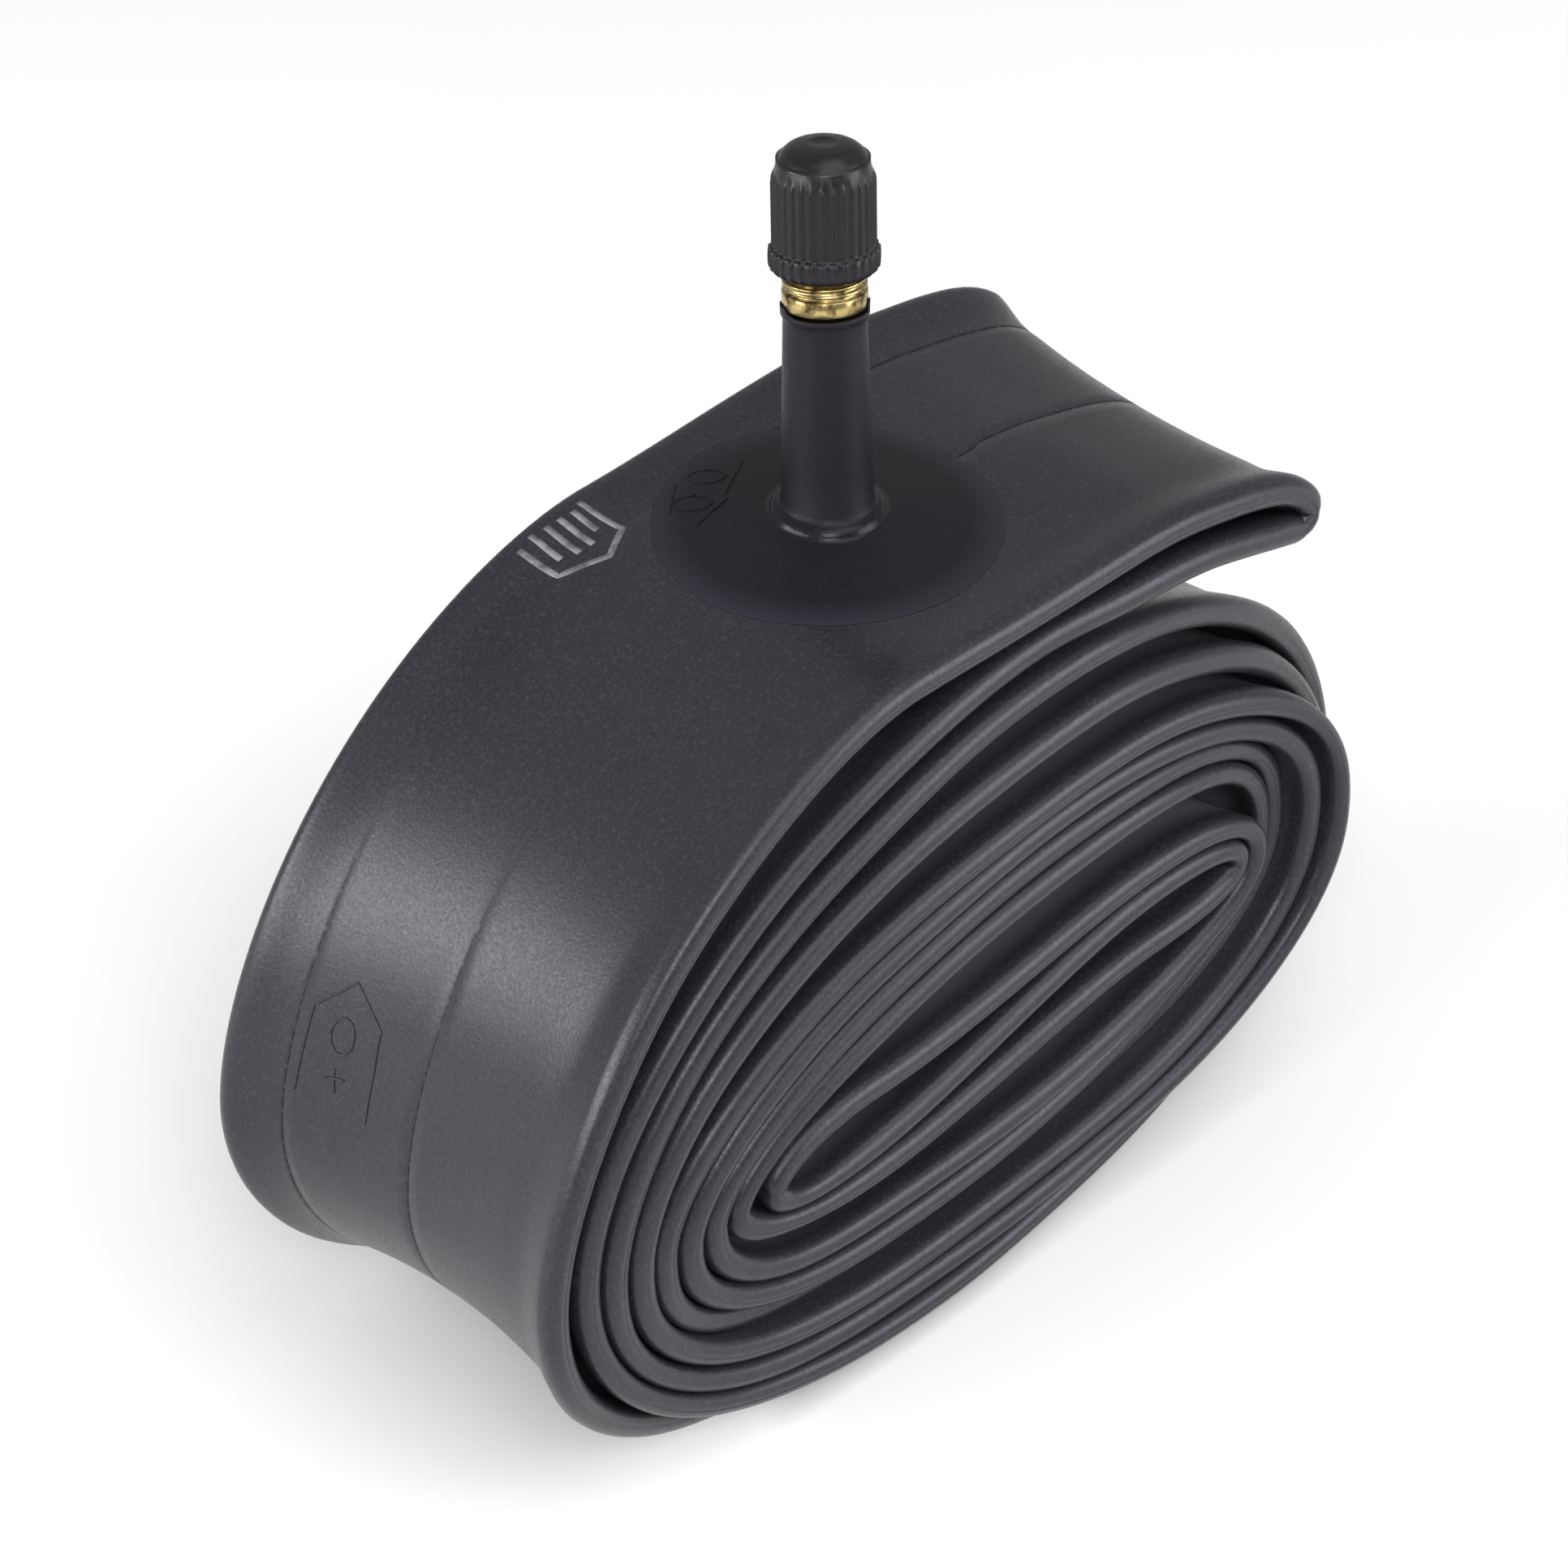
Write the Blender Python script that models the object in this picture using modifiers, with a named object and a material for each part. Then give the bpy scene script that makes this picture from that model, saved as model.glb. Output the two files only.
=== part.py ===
"""A deflated bicycle inner tube, pressed flat, folded double and rolled up, with its capped car-type valve.

Frame: +Z up. The roll's axis is Y and its long direction X. The origin is at the middle of the whole
object's footprint, on the surface that it rests on. Sizes below are millimetres.
"""

import math

import bmesh
import bpy
from mathutils import Matrix, Vector

MM = 0.001

# The flattened tube.
BAND_WIDTH = 46.0
BAND_THICKNESS = 2.0
STATION_TURN = math.radians(13.0)
STATION_STEP = 7.0
ARC_POINTS = 40

# The route of the band's middle in the XZ plane. Each knot is a place where the band runs level ("H")
# or upright ("V"), with its x and z and the fullness of the quarter turn that leads to it.
UPPER_RUN = (
    ("V", -27.6, 30.1),
    ("H", -14.8, 34.5, 1.90),
    ("H", 25.2, 38.5),
    ("V", 38.9, 31.9, 2.30),
    ("H", -11.8, 18.5, 1.95),
    ("V", -34.8, 29.9, 2.30),
    ("H", 18.2, 49.0, 1.75),
    ("V", 44.3, 31.9, 2.20),
    ("H", -8.8, 12.6, 2.15),
    ("V", -41.3, 30.4, 2.30),
    ("H", 16.2, 54.7, 1.90),
    ("V", 50.2, 31.9, 2.20),
    ("H", -9.8, 6.7, 2.30),
    ("V", -47.6, 31.4, 2.20),
    ("H", 12.2, 68.0, 1.85),
    ("V", 55.1, 31.4, 1.70),
    ("H", 8.2, 1.0, 2.30),
    ("H", -11.8, 1.0),
    ("V", -55.1, 31.9, 2.00),
    ("H", -9.8, 76.9, 1.75),
    ("H", 20.2, 76.9),
)
LOWER_RUN = (
    ("V", -27.6, 30.1),
    ("H", -20.8, 27.2, 2.10),
    ("H", 26.2, 35.6),
    ("V", 36.2, 32.5, 2.30),
    ("H", 24.2, 29.3, 2.30),
    ("H", -13.8, 24.5),
    ("V", -31.8, 29.9, 2.30),
    ("H", 20.2, 46.1, 1.65),
    ("V", 41.6, 31.9, 2.25),
    ("H", -9.8, 15.6, 2.05),
    ("V", -38.1, 29.9, 2.30),
    ("H", 16.2, 51.9, 1.85),
    ("V", 47.0, 31.9, 2.20),
    ("H", -8.8, 9.6, 2.25),
    ("V", -44.4, 30.9, 2.25),
    ("H", 14.2, 61.7, 1.95),
    ("V", 52.7, 31.9, 1.85),
    ("H", -10.8, 3.8, 2.30),
    ("V", -50.7, 31.9, 2.10),
    ("H", 8.2, 72.1, 1.85),
    ("H", 22.2, 72.0),
)
# The free fold at the roll's outer end, from the upper run round to the lower one.
TONGUE = (
    (26.0, 76.5),
    (31.0, 75.6),
    (35.4, 74.6),
    (39.4, 73.2),
    (42.4, 71.2),
    (43.5, 69.2),
    (42.3, 67.9),
    (39.8, 68.4),
    (35.2, 69.7),
    (29.2, 71.2),
)

# The valve stands on the roll's crest and leans back. Its heights run up its own axis from the crest.
VALVE_X = 2.2
CREST_Z = UPPER_RUN[-1][2] + BAND_THICKNESS / 2
LEAN = math.radians(10.0)
LEAN_TOWARDS = math.radians(49.0)
GAP = 0.3
FOOT_RADIUS = 16.0
FOOT_TOP = 1.3
FOOT_EDGE = 0.7
SHEATH_TOP = 20.9
SHEATH_FOOT_RADIUS = 4.2
SHEATH_TOP_RADIUS = 3.8
STEM_HEAD_RADIUS = 3.2
STEM_HEAD = (1.0, 1.9)
STEM_NECK_RADIUS = 2.8
THREAD_RADIUS = 3.85
STEM_TOP = 34.3
AIRWAY_RADIUS = 1.9
MOUTH_RADIUS = 2.65
SEAT_HEIGHT = 25.7

# The valve core, from its screwed plug down to the plunger.
PLUG_RADIUS = 2.3
PLUG_BORE = 0.95
PLUG = (29.7, 33.3)
BARREL_RADIUS = 1.6
BARREL_BORE = 1.15
BARREL = (24.7, 29.3)
BARREL_FLOOR = 0.5
PIN_RADIUS = 0.45
PIN_COLLAR_RADIUS = 0.85
PIN_COLLAR = (28.6, 28.9)
PIN = (22.3, 33.6)
PLUNGER_HOLE = PIN_RADIUS + GAP
PLUNGER_RADIUS = 1.5
WASHER = (26.4, 28.1)
SPRING_WIRE = 0.1
SPRING_RADIUS = 0.8
SPRING_TURNS = 6
SPRING = (25.7, 28.1)
SEAL = (23.9, 24.4)
CUP = (22.6, 23.6)

# The dust cap.
CAP_BOTTOM = 24.3
CAP_TOP = 36.0
CAP_RADIUS = 4.7
CAP_FLANGE_RADIUS = 5.0
CAP_FLANGE = (CAP_BOTTOM + 0.2, CAP_BOTTOM + 2.1)
CAP_CROWN_RADIUS = 3.6
CAP_CROWN_DROP = 1.6
CAP_BORE = 4.2
CAP_CEILING = CAP_TOP - 0.8
CAP_SEAL_RADIUS = (1.5, 3.8)
CAP_SEAL = (STEM_TOP + GAP, CAP_CEILING - GAP)

ROUND_STEPS = 32
FINE_STEPS = 20


def clear_scene():
    for old in list(bpy.data.objects):
        bpy.data.objects.remove(old)


def material(name, colour, roughness, metallic=0.0):
    made = bpy.data.materials.new(name)
    made.use_nodes = True
    shader = made.node_tree.nodes["Principled BSDF"]
    shader.inputs["Base Color"].default_value = (*colour, 1.0)
    shader.inputs["Roughness"].default_value = roughness
    shader.inputs["Metallic"].default_value = metallic
    return made


def place(name, data, surface, collection):
    """A named object in the part's collection, with its own material."""
    made = bpy.data.objects.new(name, data)
    data.materials.append(surface)
    collection.objects.link(made)
    return made


def quarter_turn(start, end, fullness, from_level):
    """Points of a quarter oval, without its last: level at one end and upright at the other."""
    for step in range(ARC_POINTS):
        angle = step / ARC_POINTS * math.pi / 2
        grow = math.sin(angle) ** (2 / fullness)
        fade = math.cos(angle) ** (2 / fullness)
        if from_level:
            yield start[0] + (end[0] - start[0]) * grow, end[1] + (start[1] - end[1]) * fade
        else:
            yield end[0] + (start[0] - end[0]) * fade, start[1] + (end[1] - start[1]) * grow


def level_stretch(start, end):
    """Points from one level knot to the next, easing from the one height to the other, without the last."""
    for step in range(ARC_POINTS):
        part = step / ARC_POINTS
        ease = part * part * (3 - 2 * part)
        yield start[0] + (end[0] - start[0]) * part, start[1] + (end[1] - start[1]) * ease


def run_points(knots):
    """The route of one run, from the inner fold outwards."""
    points = []
    for knot, following in zip(knots, knots[1:]):
        start, end = knot[1:3], following[1:3]
        if knot[0] == following[0]:
            points += level_stretch(start, end)
        else:
            points += quarter_turn(start, end, following[3], knot[0] == "H")
    points.append(knots[-1][1:3])
    return points


def smooth_through(points, before, after, steps=8):
    """Catmull-Rom points through a list, which leave its neighbours in line."""
    line = [before, *points, after]
    found = []
    for first, second, third, fourth in zip(line, line[1:], line[2:], line[3:]):
        for step in range(steps):
            t = step / steps
            found.append(
                tuple(
                    0.5 * (2 * b + (c - a) * t + (2 * a - 5 * b + 4 * c - d) * t**2 + (3 * b - a - 3 * c + d) * t**3)
                    for a, b, c, d in zip(first, second, third, fourth)
                )
            )
    found.append(points[-1])
    return found


def band_route():
    """The closed loop of the band's middle, out along the upper run and back along the lower one."""
    outward = run_points(UPPER_RUN)
    inward = run_points(LOWER_RUN)[::-1]
    fold = smooth_through([outward[-1], *TONGUE, inward[0]], outward[-3], inward[2])
    return outward[:-1] + fold[:-1] + inward[:-1]


def stations(points):
    """Thins a dense closed line: a point is kept once the line has turned or run on far enough."""
    kept = [points[0]]
    turned = 0.0
    for last, here, following in zip(points, points[1:], points[2:] + points[:1]):
        heading_in = math.atan2(here[1] - last[1], here[0] - last[0])
        heading_out = math.atan2(following[1] - here[1], following[0] - here[0])
        turned += abs((heading_out - heading_in + math.pi) % (2 * math.pi) - math.pi)
        if turned >= STATION_TURN or math.dist(here, kept[-1]) >= STATION_STEP:
            kept.append(here)
            turned = 0.0
    return kept


def rolled_tube(collection):
    """The flat-pressed tube: one ribbon as wide as the flat tube, given the thickness of its two walls."""
    mesh = bpy.data.meshes.new("rolled_tube")
    ribbon = bmesh.new()
    ring = [ribbon.verts.new((x * MM, -BAND_WIDTH / 2 * MM, z * MM)) for x, z in stations(band_route())]
    edges = [ribbon.edges.new(pair) for pair in zip(ring, ring[1:] + ring[:1])]
    swept = bmesh.ops.extrude_edge_only(ribbon, edges=edges)["geom"]
    far_side = [item for item in swept if isinstance(item, bmesh.types.BMVert)]
    bmesh.ops.translate(ribbon, verts=far_side, vec=(0.0, BAND_WIDTH * MM, 0.0))
    bmesh.ops.recalc_face_normals(ribbon, faces=ribbon.faces)
    ribbon.to_mesh(mesh)
    ribbon.free()
    band = place("rolled_tube", mesh, material("black butyl rubber", (0.045, 0.047, 0.055), 0.5), collection)
    walls = band.modifiers.new("two walls", "SOLIDIFY")
    walls.thickness = BAND_THICKNESS * MM
    walls.offset = 0.0
    walls.use_even_offset = True
    return band


def lean():
    """The turn that leans the valve back."""
    across = Vector((-math.sin(LEAN_TOWARDS), math.cos(LEAN_TOWARDS), 0.0))
    return Matrix.Rotation(LEAN, 3, across)


def stand_on_crest(piece, leaning=True):
    """Places a piece, made upright from height 0, on the valve's axis."""
    piece.location = (VALVE_X * MM, 0.0, CREST_Z * MM)
    if leaning:
        piece.rotation_euler = lean().to_euler()


def outline_mesh(name, outline):
    """An outline of radius and height as a line. It closes on itself, unless its ends lie on the axis."""
    mesh = bpy.data.meshes.new(name)
    corners = [(radius * MM, 0.0, height * MM) for radius, height in outline]
    edges = [(index, index + 1) for index in range(len(outline) - 1)]
    if outline[0][0] > 0:
        edges.append((len(outline) - 1, 0))
    mesh.from_pydata(corners, edges, [])
    return mesh


def turned(name, outline, surface, collection, steps=ROUND_STEPS):
    """A turned piece on the valve's axis, from its outline."""
    piece = place(name, outline_mesh(name, outline), surface, collection)
    stand_on_crest(piece)
    turn = piece.modifiers.new("turned", "SCREW")
    turn.axis = "Z"
    turn.angle = 2 * math.pi
    turn.steps = steps
    turn.render_steps = steps
    turn.use_smooth_shade = True
    turn.use_merge_vertices = True
    turn.merge_threshold = 0.00001
    return piece


def ring(name, inner, outer, low, high, surface, collection, steps=FINE_STEPS):
    """A plain turned ring or bush."""
    return turned(name, [(outer, high), (outer, low), (inner, low), (inner, high)], surface, collection, steps)


def rubber_valve(collection):
    """The round rubber foot, flat on the tube, and the leaning sheath up the stem: one moulding, open
    from end to end.
    """
    bore = STEM_NECK_RADIUS + GAP
    head_bore = STEM_HEAD_RADIUS + GAP
    outline = [
        (SHEATH_TOP_RADIUS, SHEATH_TOP),
        (SHEATH_FOOT_RADIUS, FOOT_TOP + 1.2),
        (SHEATH_FOOT_RADIUS + 0.3, FOOT_TOP + 0.4),
        (SHEATH_FOOT_RADIUS + 0.8, FOOT_TOP),
        (FOOT_RADIUS - 1.6, FOOT_TOP),
        (FOOT_RADIUS, FOOT_EDGE),
        (FOOT_RADIUS, GAP),
        (head_bore, GAP),
        (head_bore, STEM_HEAD[1] + GAP),
        (bore, STEM_HEAD[1] + GAP),
        (bore, SHEATH_TOP),
    ]
    mesh = outline_mesh("rubber_valve", outline)
    moulding = bmesh.new()
    moulding.from_mesh(mesh)
    bmesh.ops.spin(
        moulding,
        geom=moulding.verts[:] + moulding.edges[:],
        cent=(0.0, 0.0, 0.0),
        axis=(0.0, 0.0, 1.0),
        angle=2 * math.pi,
        steps=ROUND_STEPS,
        use_merge=True,
    )
    bmesh.ops.recalc_face_normals(moulding, faces=moulding.faces)
    sheath = [corner for corner in moulding.verts if corner.co.z > (FOOT_TOP + 0.1) * MM]
    bmesh.ops.rotate(moulding, cent=(0.0, 0.0, 0.0), matrix=lean(), verts=sheath)
    moulding.to_mesh(mesh)
    moulding.free()
    surface = material("moulded black rubber", (0.03, 0.031, 0.036), 0.55)
    valve = place("rubber_valve", mesh, surface, collection)
    stand_on_crest(valve, leaning=False)


def brass_stem(collection):
    """The brass insert: a headed tube in the rubber, and above it the screwed end for the cap and pump."""
    outline = [
        (THREAD_RADIUS - 0.6, STEM_TOP),
        (THREAD_RADIUS, STEM_TOP - 0.6),
        (THREAD_RADIUS, SHEATH_TOP + GAP),
        (STEM_NECK_RADIUS, SHEATH_TOP + GAP),
        (STEM_NECK_RADIUS, STEM_HEAD[1]),
        (STEM_HEAD_RADIUS, STEM_HEAD[1]),
        (STEM_HEAD_RADIUS, STEM_HEAD[0]),
        (AIRWAY_RADIUS, STEM_HEAD[0]),
        (AIRWAY_RADIUS, SEAT_HEIGHT - 0.8),
        (MOUTH_RADIUS, SEAT_HEIGHT),
        (MOUTH_RADIUS, STEM_TOP),
    ]
    surface = material("turned brass", (0.72, 0.50, 0.18), 0.3, 1.0)
    return turned("brass_stem", outline, surface, collection)


def core_spring(collection):
    """The plunger's return spring, wound round the pin."""
    points_per_turn = 8
    count = SPRING_TURNS * points_per_turn
    curve = bpy.data.curves.new("core_spring", "CURVE")
    curve.dimensions = "3D"
    curve.bevel_depth = SPRING_WIRE * MM
    curve.bevel_resolution = 1
    curve.use_fill_caps = True
    wire = curve.splines.new("POLY")
    wire.points.add(count)
    low, high = SPRING[0] + SPRING_WIRE, SPRING[1] - SPRING_WIRE
    for index in range(count + 1):
        angle = index / points_per_turn * 2 * math.pi
        height = low + (high - low) * index / count
        x, y = SPRING_RADIUS * math.cos(angle), SPRING_RADIUS * math.sin(angle)
        wire.points[index].co = (x * MM, y * MM, height * MM, 1.0)
    surface = material("spring steel", (0.55, 0.55, 0.56), 0.3, 1.0)
    stand_on_crest(place("core_spring", curve, surface, collection))


def core_pin(collection):
    """The pin that a pump or a fingernail pushes down, with the collar that its spring lifts."""
    outline = [
        (0.0, PIN[1]),
        (PIN_RADIUS - 0.1, PIN[1]),
        (PIN_RADIUS, PIN[1] - 0.2),
        (PIN_RADIUS, PIN_COLLAR[1]),
        (PIN_COLLAR_RADIUS, PIN_COLLAR[1]),
        (PIN_COLLAR_RADIUS, PIN_COLLAR[0]),
        (PIN_RADIUS, PIN_COLLAR[0]),
        (PIN_RADIUS, PIN[0]),
        (0.0, PIN[0]),
    ]
    surface = material("plated brass pin", (0.70, 0.60, 0.38), 0.3, 1.0)
    turned("core_pin", outline, surface, collection, steps=12)


def valve_core(collection):
    """The screwed-in core: plug, sealing ring, barrel, pin, spring, and the plunger that closes the barrel."""
    brass = material("core brass", (0.68, 0.47, 0.18), 0.35, 1.0)
    ring("core_plug", PLUG_BORE, PLUG_RADIUS, *PLUG, brass, collection)
    barrel_outline = [
        (BARREL_RADIUS, BARREL[1]),
        (BARREL_RADIUS, BARREL[0]),
        (PLUNGER_HOLE, BARREL[0]),
        (PLUNGER_HOLE, BARREL[0] + BARREL_FLOOR),
        (BARREL_BORE, BARREL[0] + BARREL_FLOOR),
        (BARREL_BORE, BARREL[1]),
    ]
    turned("core_barrel", barrel_outline, material("barrel brass", (0.66, 0.46, 0.18), 0.35, 1.0), collection, FINE_STEPS)
    red_seal = material("red sealing ring", (0.45, 0.05, 0.04), 0.5)
    ring("core_washer", BARREL_RADIUS + GAP, MOUTH_RADIUS - GAP, *WASHER, red_seal, collection)
    core_pin(collection)
    core_spring(collection)
    plunger_seal = material("plunger seal rubber", (0.03, 0.03, 0.03), 0.6)
    ring("seat_seal", PLUNGER_HOLE, PLUNGER_RADIUS, *SEAL, plunger_seal, collection)
    ring("seat_cup", PLUNGER_HOLE, PLUNGER_RADIUS, *CUP, material("cup brass", (0.64, 0.45, 0.18), 0.35, 1.0), collection)


def dust_cap(collection):
    """The screw-on plastic cap, with a flange at its mouth, and the thin rubber washer under its crown."""
    outline = [
        (0.0, CAP_TOP),
        (CAP_CROWN_RADIUS, CAP_TOP),
        (CAP_RADIUS, CAP_TOP - CAP_CROWN_DROP),
        (CAP_RADIUS, CAP_FLANGE[1]),
        (CAP_FLANGE_RADIUS, CAP_FLANGE[1] - 0.2),
        (CAP_FLANGE_RADIUS, CAP_FLANGE[0]),
        (CAP_BORE + 0.3, CAP_BOTTOM),
        (CAP_BORE, CAP_BOTTOM),
        (CAP_BORE, CAP_CEILING),
        (0.0, CAP_CEILING),
    ]
    surface = material("moulded black plastic", (0.035, 0.035, 0.04), 0.4)
    turned("dust_cap", outline, surface, collection)
    ring("cap_seal", *CAP_SEAL_RADIUS, *CAP_SEAL, material("cap seal rubber", (0.04, 0.04, 0.045), 0.6), collection)


def main():
    clear_scene()
    parts = bpy.data.collections.new("inner_tube")
    bpy.context.scene.collection.children.link(parts)
    rolled_tube(parts)
    rubber_valve(parts)
    brass_stem(parts)
    valve_core(parts)
    dust_cap(parts)


main()
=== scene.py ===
"""The looks of a rolled-up bicycle inner tube, whose car-type valve has its dust cap on."""

import math

import bmesh
import bpy
from mathutils import Matrix, Vector, kdtree, noise
from mathutils.bvhtree import BVHTree


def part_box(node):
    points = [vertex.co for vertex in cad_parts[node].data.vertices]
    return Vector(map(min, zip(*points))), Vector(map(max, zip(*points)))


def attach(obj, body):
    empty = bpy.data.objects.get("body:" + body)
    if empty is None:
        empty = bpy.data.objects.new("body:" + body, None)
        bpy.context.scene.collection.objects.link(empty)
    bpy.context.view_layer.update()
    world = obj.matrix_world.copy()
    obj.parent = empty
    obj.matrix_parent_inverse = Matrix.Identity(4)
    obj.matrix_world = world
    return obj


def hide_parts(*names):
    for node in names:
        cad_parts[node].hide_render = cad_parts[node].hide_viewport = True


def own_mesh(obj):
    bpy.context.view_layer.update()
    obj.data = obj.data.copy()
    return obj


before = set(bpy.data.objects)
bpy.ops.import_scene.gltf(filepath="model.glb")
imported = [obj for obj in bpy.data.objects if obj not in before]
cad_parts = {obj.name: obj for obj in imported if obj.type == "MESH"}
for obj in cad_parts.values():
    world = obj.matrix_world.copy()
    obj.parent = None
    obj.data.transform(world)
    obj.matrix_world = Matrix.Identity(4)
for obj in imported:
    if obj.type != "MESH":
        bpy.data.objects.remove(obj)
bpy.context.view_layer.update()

# --- Studio -------------------------------------------------------------------------------------------
# The roll lies on white paper. A wide softbox stands low behind its left end and makes the highlight on
# the bend. Weak ones hang over it and stand by the camera and low on the right. The lens is long.
MM = 0.001
valve_low, valve_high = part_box("rubber_valve")
VALVE_X = (valve_low.x + valve_high.x) / 2
# The solids of neighbouring pieces stand this far apart, so the foot's solid starts above the crest.
GAP = 0.3 * MM
CREST_Z = valve_low.z - GAP
AZIMUTH = math.radians(46.0)
ELEVATION = math.radians(37.0)
CAMERA_DISTANCE = 550 * MM
TARGET_LEFT, TARGET_DOWN = 3.95 * MM, 23.65 * MM
VIEW_RIGHT = Vector((math.cos(AZIMUTH), -math.sin(AZIMUTH), 0.0))
VIEW_BACK = Vector(
    (
        -math.sin(AZIMUTH) * math.cos(ELEVATION),
        -math.cos(AZIMUTH) * math.cos(ELEVATION),
        math.sin(ELEVATION),
    )
)
VIEW_UP = VIEW_BACK.cross(VIEW_RIGHT)
target = Vector((VALVE_X, 0.0, CREST_Z)) - TARGET_LEFT * VIEW_RIGHT - TARGET_DOWN * VIEW_UP

camera_data = bpy.data.cameras.new("camera")
camera_data.lens = 140.0
camera_data.sensor_width = 36.0
camera_data.clip_start = 0.01
camera = bpy.data.objects.new("camera", camera_data)
camera.location = target + CAMERA_DISTANCE * VIEW_BACK
camera.rotation_mode = "QUATERNION"
camera.rotation_quaternion = (-VIEW_BACK).to_track_quat("-Z", "Y")
bpy.context.scene.collection.objects.link(camera)
bpy.context.scene.camera = camera
bpy.context.scene.view_settings.view_transform = "Standard"


def linear(hex_colour):
    """An sRGB hex colour as linear light."""
    parts = [int(hex_colour[start : start + 2], 16) / 255 for start in (1, 3, 5)]
    return (*[part / 12.92 if part <= 0.04045 else ((part + 0.055) / 1.055) ** 2.4 for part in parts], 1.0)


def add_node(tree, kind, inputs=None, **settings):
    """Adds a node with its settings. An input is given a value or another node's socket."""
    made = tree.nodes.new(kind)
    for key, value in settings.items():
        setattr(made, key, value)
    for key, value in (inputs or {}).items():
        if isinstance(value, bpy.types.NodeSocket):
            tree.links.new(value, made.inputs[key])
        else:
            made.inputs[key].default_value = value
    return made


def new_finish(name, inputs):
    """A Principled material with its plain values, and its node tree and shader."""
    made = bpy.data.materials.new(name)
    made.use_nodes = True
    shader = made.node_tree.nodes["Principled BSDF"]
    for key, value in inputs.items():
        shader.inputs[key].default_value = value
    return made, made.node_tree, shader


def softbox(name, place, aim, width, height, watts):
    """A rectangular area light that faces a point."""
    data = bpy.data.lights.new(name, "AREA")
    data.shape = "RECTANGLE"
    data.size = width
    data.size_y = height
    data.energy = watts
    lamp = bpy.data.objects.new(name, data)
    lamp.location = place
    lamp.rotation_mode = "QUATERNION"
    lamp.rotation_quaternion = (Vector(aim) - Vector(place)).to_track_quat("-Z", "Y")
    bpy.context.scene.collection.objects.link(lamp)


roll_middle = (0.0, 0.0, 0.04)
softbox("side_softbox", (-0.63, 0.23, 0.26), roll_middle, width=0.66, height=0.20, watts=4.7)
softbox("top_softbox", (0.0, -0.45, 0.9), roll_middle, width=0.9, height=0.9, watts=6.0)
softbox("front_softbox", (0.45, -0.70, 0.25), roll_middle, width=0.5, height=0.5, watts=4.5)
softbox("camera_softbox", (-0.42, -0.45, 0.52), roll_middle, width=0.25, height=0.25, watts=2.4)

room = bpy.data.worlds.new("white studio")
room.use_nodes = True
room.node_tree.nodes["Background"].inputs["Color"].default_value = (1.0, 1.0, 1.0, 1.0)
room.node_tree.nodes["Background"].inputs["Strength"].default_value = 0.44
bpy.context.scene.world = room

PAPER_HALF = 3.0
paper_mesh = bpy.data.meshes.new("paper_floor")
paper_shape = bmesh.new()
bmesh.ops.create_grid(paper_shape, x_segments=1, y_segments=1, size=PAPER_HALF)
paper_shape.to_mesh(paper_mesh)
paper_shape.free()
paper = bpy.data.objects.new("paper_floor", paper_mesh)
paper.data.materials.append(
    new_finish("matt white paper", {"Base Color": linear("#e8e8e8"), "Roughness": 0.9})[0]
)
bpy.context.scene.collection.objects.link(paper)

# --- Rolled tube --------------------------------------------------------------------------------------
# One endless tube of butyl rubber, moulded and spliced into a loop. It is sucked flat, folded double and
# rolled up with the valve outermost. Its flat walls lie together and its folded edges stay as fat lips.
HALF_WIDTH = 23.0
# Each knot is a place where the band runs level ("H") or upright ("V"): its x and z, the fullness of
# the quarter turn that leads to it (0 between two level ones), and how far the near lip and the far one
# are set in there.
UPPER_RUN = (
    ("V", -27.6, 30.1, 0, 0.0, 0.4),
    ("H", -14.8, 34.5, 1.90, 0.0, 0.2),
    ("H", 25.2, 38.5, 0, 0.0, 0.8),
    ("V", 38.9, 31.9, 2.30, 0.0, 1.2),
    ("H", -11.8, 18.5, 1.95, 0.3, 0.6),
    ("V", -34.8, 29.9, 2.30, 0.5, 0.2),
    ("H", 18.2, 49.0, 1.75, 0.2, 0.9),
    ("V", 44.3, 31.9, 2.20, 2.6, 1.3),
    ("H", -8.8, 12.6, 2.15, 2.6, 0.4),
    ("V", -41.3, 30.4, 2.30, 0.4, 0.1),
    ("H", 16.2, 54.7, 1.90, 0.0, 0.8),
    ("V", 50.2, 31.9, 2.20, -1.0, 0.2),
    ("H", -9.8, 6.7, 2.30, 0.2, 0.9),
    ("V", -47.6, 31.4, 2.20, 0.4, 0.5),
    ("H", 12.2, 68.0, 1.85, 0.3, 0.3),
    ("V", 55.1, 31.4, 1.80, 6.0, 1.1),
    ("H", 8.2, 1.0, 2.30, 6.0, 0.8),
    ("H", -11.8, 1.0, 0, 5.0, 3.4),
    ("V", -55.1, 31.9, 2.00, 0.0, 1.7),
    ("H", -9.8, 76.9, 1.75, 0.0, 2.5),
    ("H", 20.2, 76.9, 0, 0.0, 1.4),
)
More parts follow.
